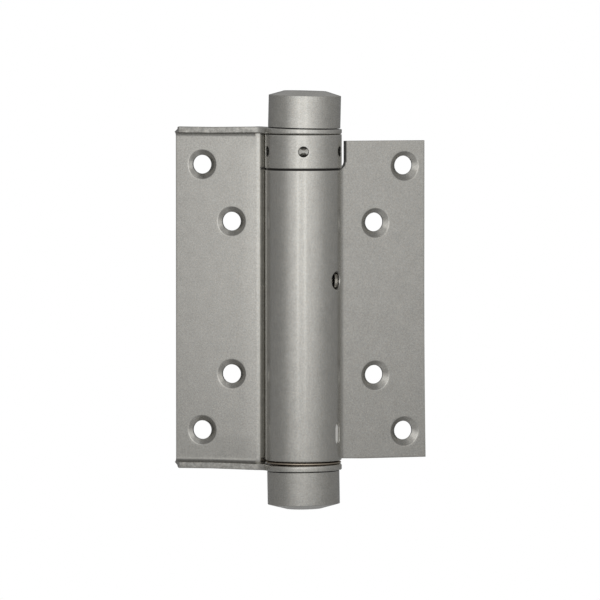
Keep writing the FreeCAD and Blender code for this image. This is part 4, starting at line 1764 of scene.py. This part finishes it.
BASE_GLOW = ((-0.24, 0.225), (0.04, 0.225), (0.2, 0.28), (0.24, 0.28))
FRONT_GLOW = Glow(
    (
        (-100.0, 25.0, 0.44),
        (-58.0, 28.0, 0.45),
        (-26.0, 22.0, 0.1),
        (-79.0, 14.0, 0.12),
        (-78.0, 80.0, 0.18),
        (10.0, 45.0, 0.06),
        (118.0, 38.0, -0.06),
    ),
    (
        (-0.24, 0.25),
        (-0.175, 0.25),
        (0.03, 1.06),
        (0.06, 1.13),
        (0.12, 1.13),
        (0.2, 0.35),
        (0.24, 0.35),
    ),
)
STRIP_GLOW = Glow(
    ((-90.6, 2.0, 0.8), (-69.5, 2.0, 0.8)),
    ((-0.24, 0.1), (-0.09, 0.1), (0.01, 1.0), (0.032, 1.0), (0.055, 0.3), (0.24, 0.3)),
)
TOP_GLOW = Glow(
    ((-74.0, 20.0, 0.13),),
    ((-0.24, 0.0), (0.03, 0.0), (0.05, 1.0), (0.12, 1.0), (0.2, 0.0)),
)
HIGH_GLOW = Glow(
    ((106.0, 50.0, 0.12),),
    ((-0.2, 1.0), (-0.09, 0.0), (0.09, 0.0), (0.2, 1.0)),
)


@dataclass
class Studio:
    """Pale floor, white surroundings, soft lamps and the cards that the metal mirrors."""

    ambient: float = 0.55
    floor_level: float = -0.26
    floor_half: float = 1.2
    floor_tone: float = 0.86
    tent_radius: float = 340.0
    tent_height: float = 240.0

    def world(self) -> None:
        """White to the camera, to gloss and through glass, and softer as a light."""
        world = bpy.data.worlds.new("white_surroundings")
        bpy.context.scene.world = world
        world.use_nodes = True
        tree = world.node_tree
        back = tree.nodes["Background"]
        back.inputs["Color"].default_value = (1.0, 1.0, 1.0, 1.0)
        formula = Formula(tree)
        path = node(tree, "LightPath").outputs
        seen = formula.calc("MAXIMUM", path["Is Camera Ray"], path["Is Glossy Ray"])
        shown = formula.calc("MAXIMUM", seen, path["Is Transmission Ray"])
        formula.put(formula.mix(shown, self.ambient, 1.0), back.inputs["Strength"])

    def floor(self) -> None:
        """A pale floor well below the hinge, which hangs as it would on its screws."""
        half = self.floor_half
        mesh = bpy.data.meshes.new("floor")
        spots = [(-half, -half), (half, -half), (half, half), (-half, half)]
        mesh.from_pydata([(x, y, self.floor_level) for x, y in spots], [], [(0, 1, 2, 3)])
        floor = bpy.data.objects.new("floor", mesh)
        bpy.context.scene.collection.objects.link(floor)
        pale = bpy.data.materials.new("pale_floor")
        pale.use_nodes = True
        shader = pale.node_tree.nodes["Principled BSDF"]
        shader.inputs["Base Color"].default_value = (*[self.floor_tone] * 3, 1.0)
        shader.inputs["Roughness"].default_value = 0.9
        mesh.materials.append(pale)

    def cards(self) -> None:
        """A closed egg of grey cards round the hinge that only gloss sees."""
        rise = np.linspace(-np.pi / 2, np.pi / 2, 49)
        half_size = np.array([self.tent_radius, self.tent_height])
        outline = half_size * np.column_stack([np.cos(rise), np.sin(rise)])
        outline[[0, -1], 0] = 0
        patches = Patchwork()
        patches.add(*revolve(outline, 96))
        cards = patches.build("studio_cards")
        cards.data.materials.append(self.card_glow())
        cards.visible_camera = False
        cards.visible_diffuse = False
        cards.visible_transmission = False
        cards.visible_shadow = False

    def card_glow(self) -> bpy.types.Material:
        """Glow of the cards, a sum of glows that each depend on direction and height.

        Returns:
            The material.
        """
        made = bpy.data.materials.new("card_glow")
        made.use_nodes = True
        tree = made.node_tree
        tree.nodes.clear()
        formula = Formula(tree)
        place = node(tree, "TexCoord")
        split = node(tree, "SeparateXYZ")
        formula.put(place.outputs["Object"], split.inputs[0])
        turn = formula.calc("ARCTAN2", split.outputs["Y"], split.outputs["X"])
        level = split.outputs["Z"]
        total = formula.curve(level, BASE_GLOW)
        for glow in (FRONT_GLOW, STRIP_GLOW, TOP_GLOW, HIGH_GLOW):
            bells = 0.0
            for centre, width, height in glow.bells:
                bell = formula.bell(turn, math.radians(centre), math.radians(width))
                bells = formula.calc("MULTIPLY_ADD", bell, height, bells)
            total = formula.calc("MULTIPLY_ADD", bells, formula.curve(level, glow.levels), total)
        light = node(tree, "Emission")
        formula.put(total, light.inputs["Strength"])
        result = node(tree, "OutputMaterial")
        formula.put(light.outputs[0], result.inputs["Surface"])
        return made

    def lamp(self, name: str, place: Vector, size: float, power: float) -> None:
        """A soft square lamp that looks at the hinge and that gloss doesn't see.

        Args:
            name: The lamp's name.
            place: Where it stands, in metres.
            size: Side of its square.
            power: Its power in watts.
        """
        data = bpy.data.lights.new(name, "AREA")
        data.size = size
        data.energy = power
        lamp = bpy.data.objects.new(name, data)
        lamp.location = place
        lamp.rotation_euler = (-place).to_track_quat("-Z", "Y").to_euler()
        lamp.visible_glossy = False
        bpy.context.scene.collection.objects.link(lamp)

    def build(self) -> None:
        """Sets up everything round the hinge."""
        self.world()
        self.floor()
        self.cards()
        self.lamp("front_lamp", Vector((0.35, -1.3, 0.9)), 0.9, 9.0)
        self.lamp("top_lamp", Vector((-0.2, -0.1, 1.3)), 1.0, 7.0)
        log.info("studio set up")


@dataclass
class Camera:
    """The photograph's view: far off, a little above, and round to the left."""

    turn: float = -74.0
    pitch: float = 2.7
    distance: float = 2.24
    scale: float = 2.738
    sensor: float = 36.0
    origin_x: float = 303.5
    origin_y: float = 298.7

    def build(self) -> None:
        """Makes the camera. Its lens gives the scale in pixels a millimetre at the pin."""
        data = bpy.data.cameras.new("camera")
        data.sensor_width = self.sensor
        data.lens = self.sensor * self.distance / MM * self.scale / PIXELS
        data.shift_x = (PIXELS / 2 - self.origin_x) / PIXELS
        data.shift_y = (self.origin_y - PIXELS / 2) / PIXELS
        data.clip_start, data.clip_end = 0.1, 20.0
        camera = bpy.data.objects.new("camera", data)
        turn, pitch = math.radians(self.turn), math.radians(self.pitch)
        level = math.cos(pitch)
        out = Vector((math.cos(turn) * level, math.sin(turn) * level, math.sin(pitch)))
        camera.location = out * self.distance
        camera.rotation_euler = (-out).to_track_quat("-Z", "Y").to_euler()
        bpy.context.scene.collection.objects.link(camera)
        bpy.context.scene.camera = camera
        log.info("camera set up")


CAD_FINISHES = {
    "spring_plug": KEY_LIT_PAINT,
    "hinge_pin": BRIGHT_STEEL,
    "torsion_spring": SPRING_STEEL,
    "plug_bush": BRONZE,
    "barrel_bush": BRONZE,
    "lower_collar_shim": GAP_SHADE_SHIM,
    "upper_collar_shim": GAP_SHADE_SHIM,
}


def main() -> None:
    """Builds the camera, the studio and the pieces in order, and gives the kept CAD nodes their
    finishes.
    """
    logging.basicConfig(level=logging.INFO, format="%(message)s")
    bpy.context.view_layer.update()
    scene = bpy.context.scene
    scene.view_settings.view_transform = "Standard"
    Camera().build()
    Studio().build()
    settle(FrameLeaf().build(), Body.FRAME_SIDE, SHEET_PAINT, "frame_leaf")
    settle(DoorLeaf().build(), Body.DOOR_SIDE, SHEET_PAINT, "door_leaf")
    settle(TensionCollar().build(), Body.COLLAR, TURNED_PAINT, "tension_collar")
    settle(TOP_CAP.build(), Body.FRAME_SIDE, TURNED_PAINT, "top_cap")
    settle(BOTTOM_CAP.build(), Body.FRAME_SIDE, TURNED_PAINT, "bottom_cap")
    settle(ThrustWasher().build(), Body.FRAME_SIDE, BRASS, "thrust_washer")
    for name, finish in CAD_FINISHES.items():
        dress(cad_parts[name], finish)
        log.info("%s keeps its solid, in %s", name, finish.name)


if __name__ == "__main__":
    main()
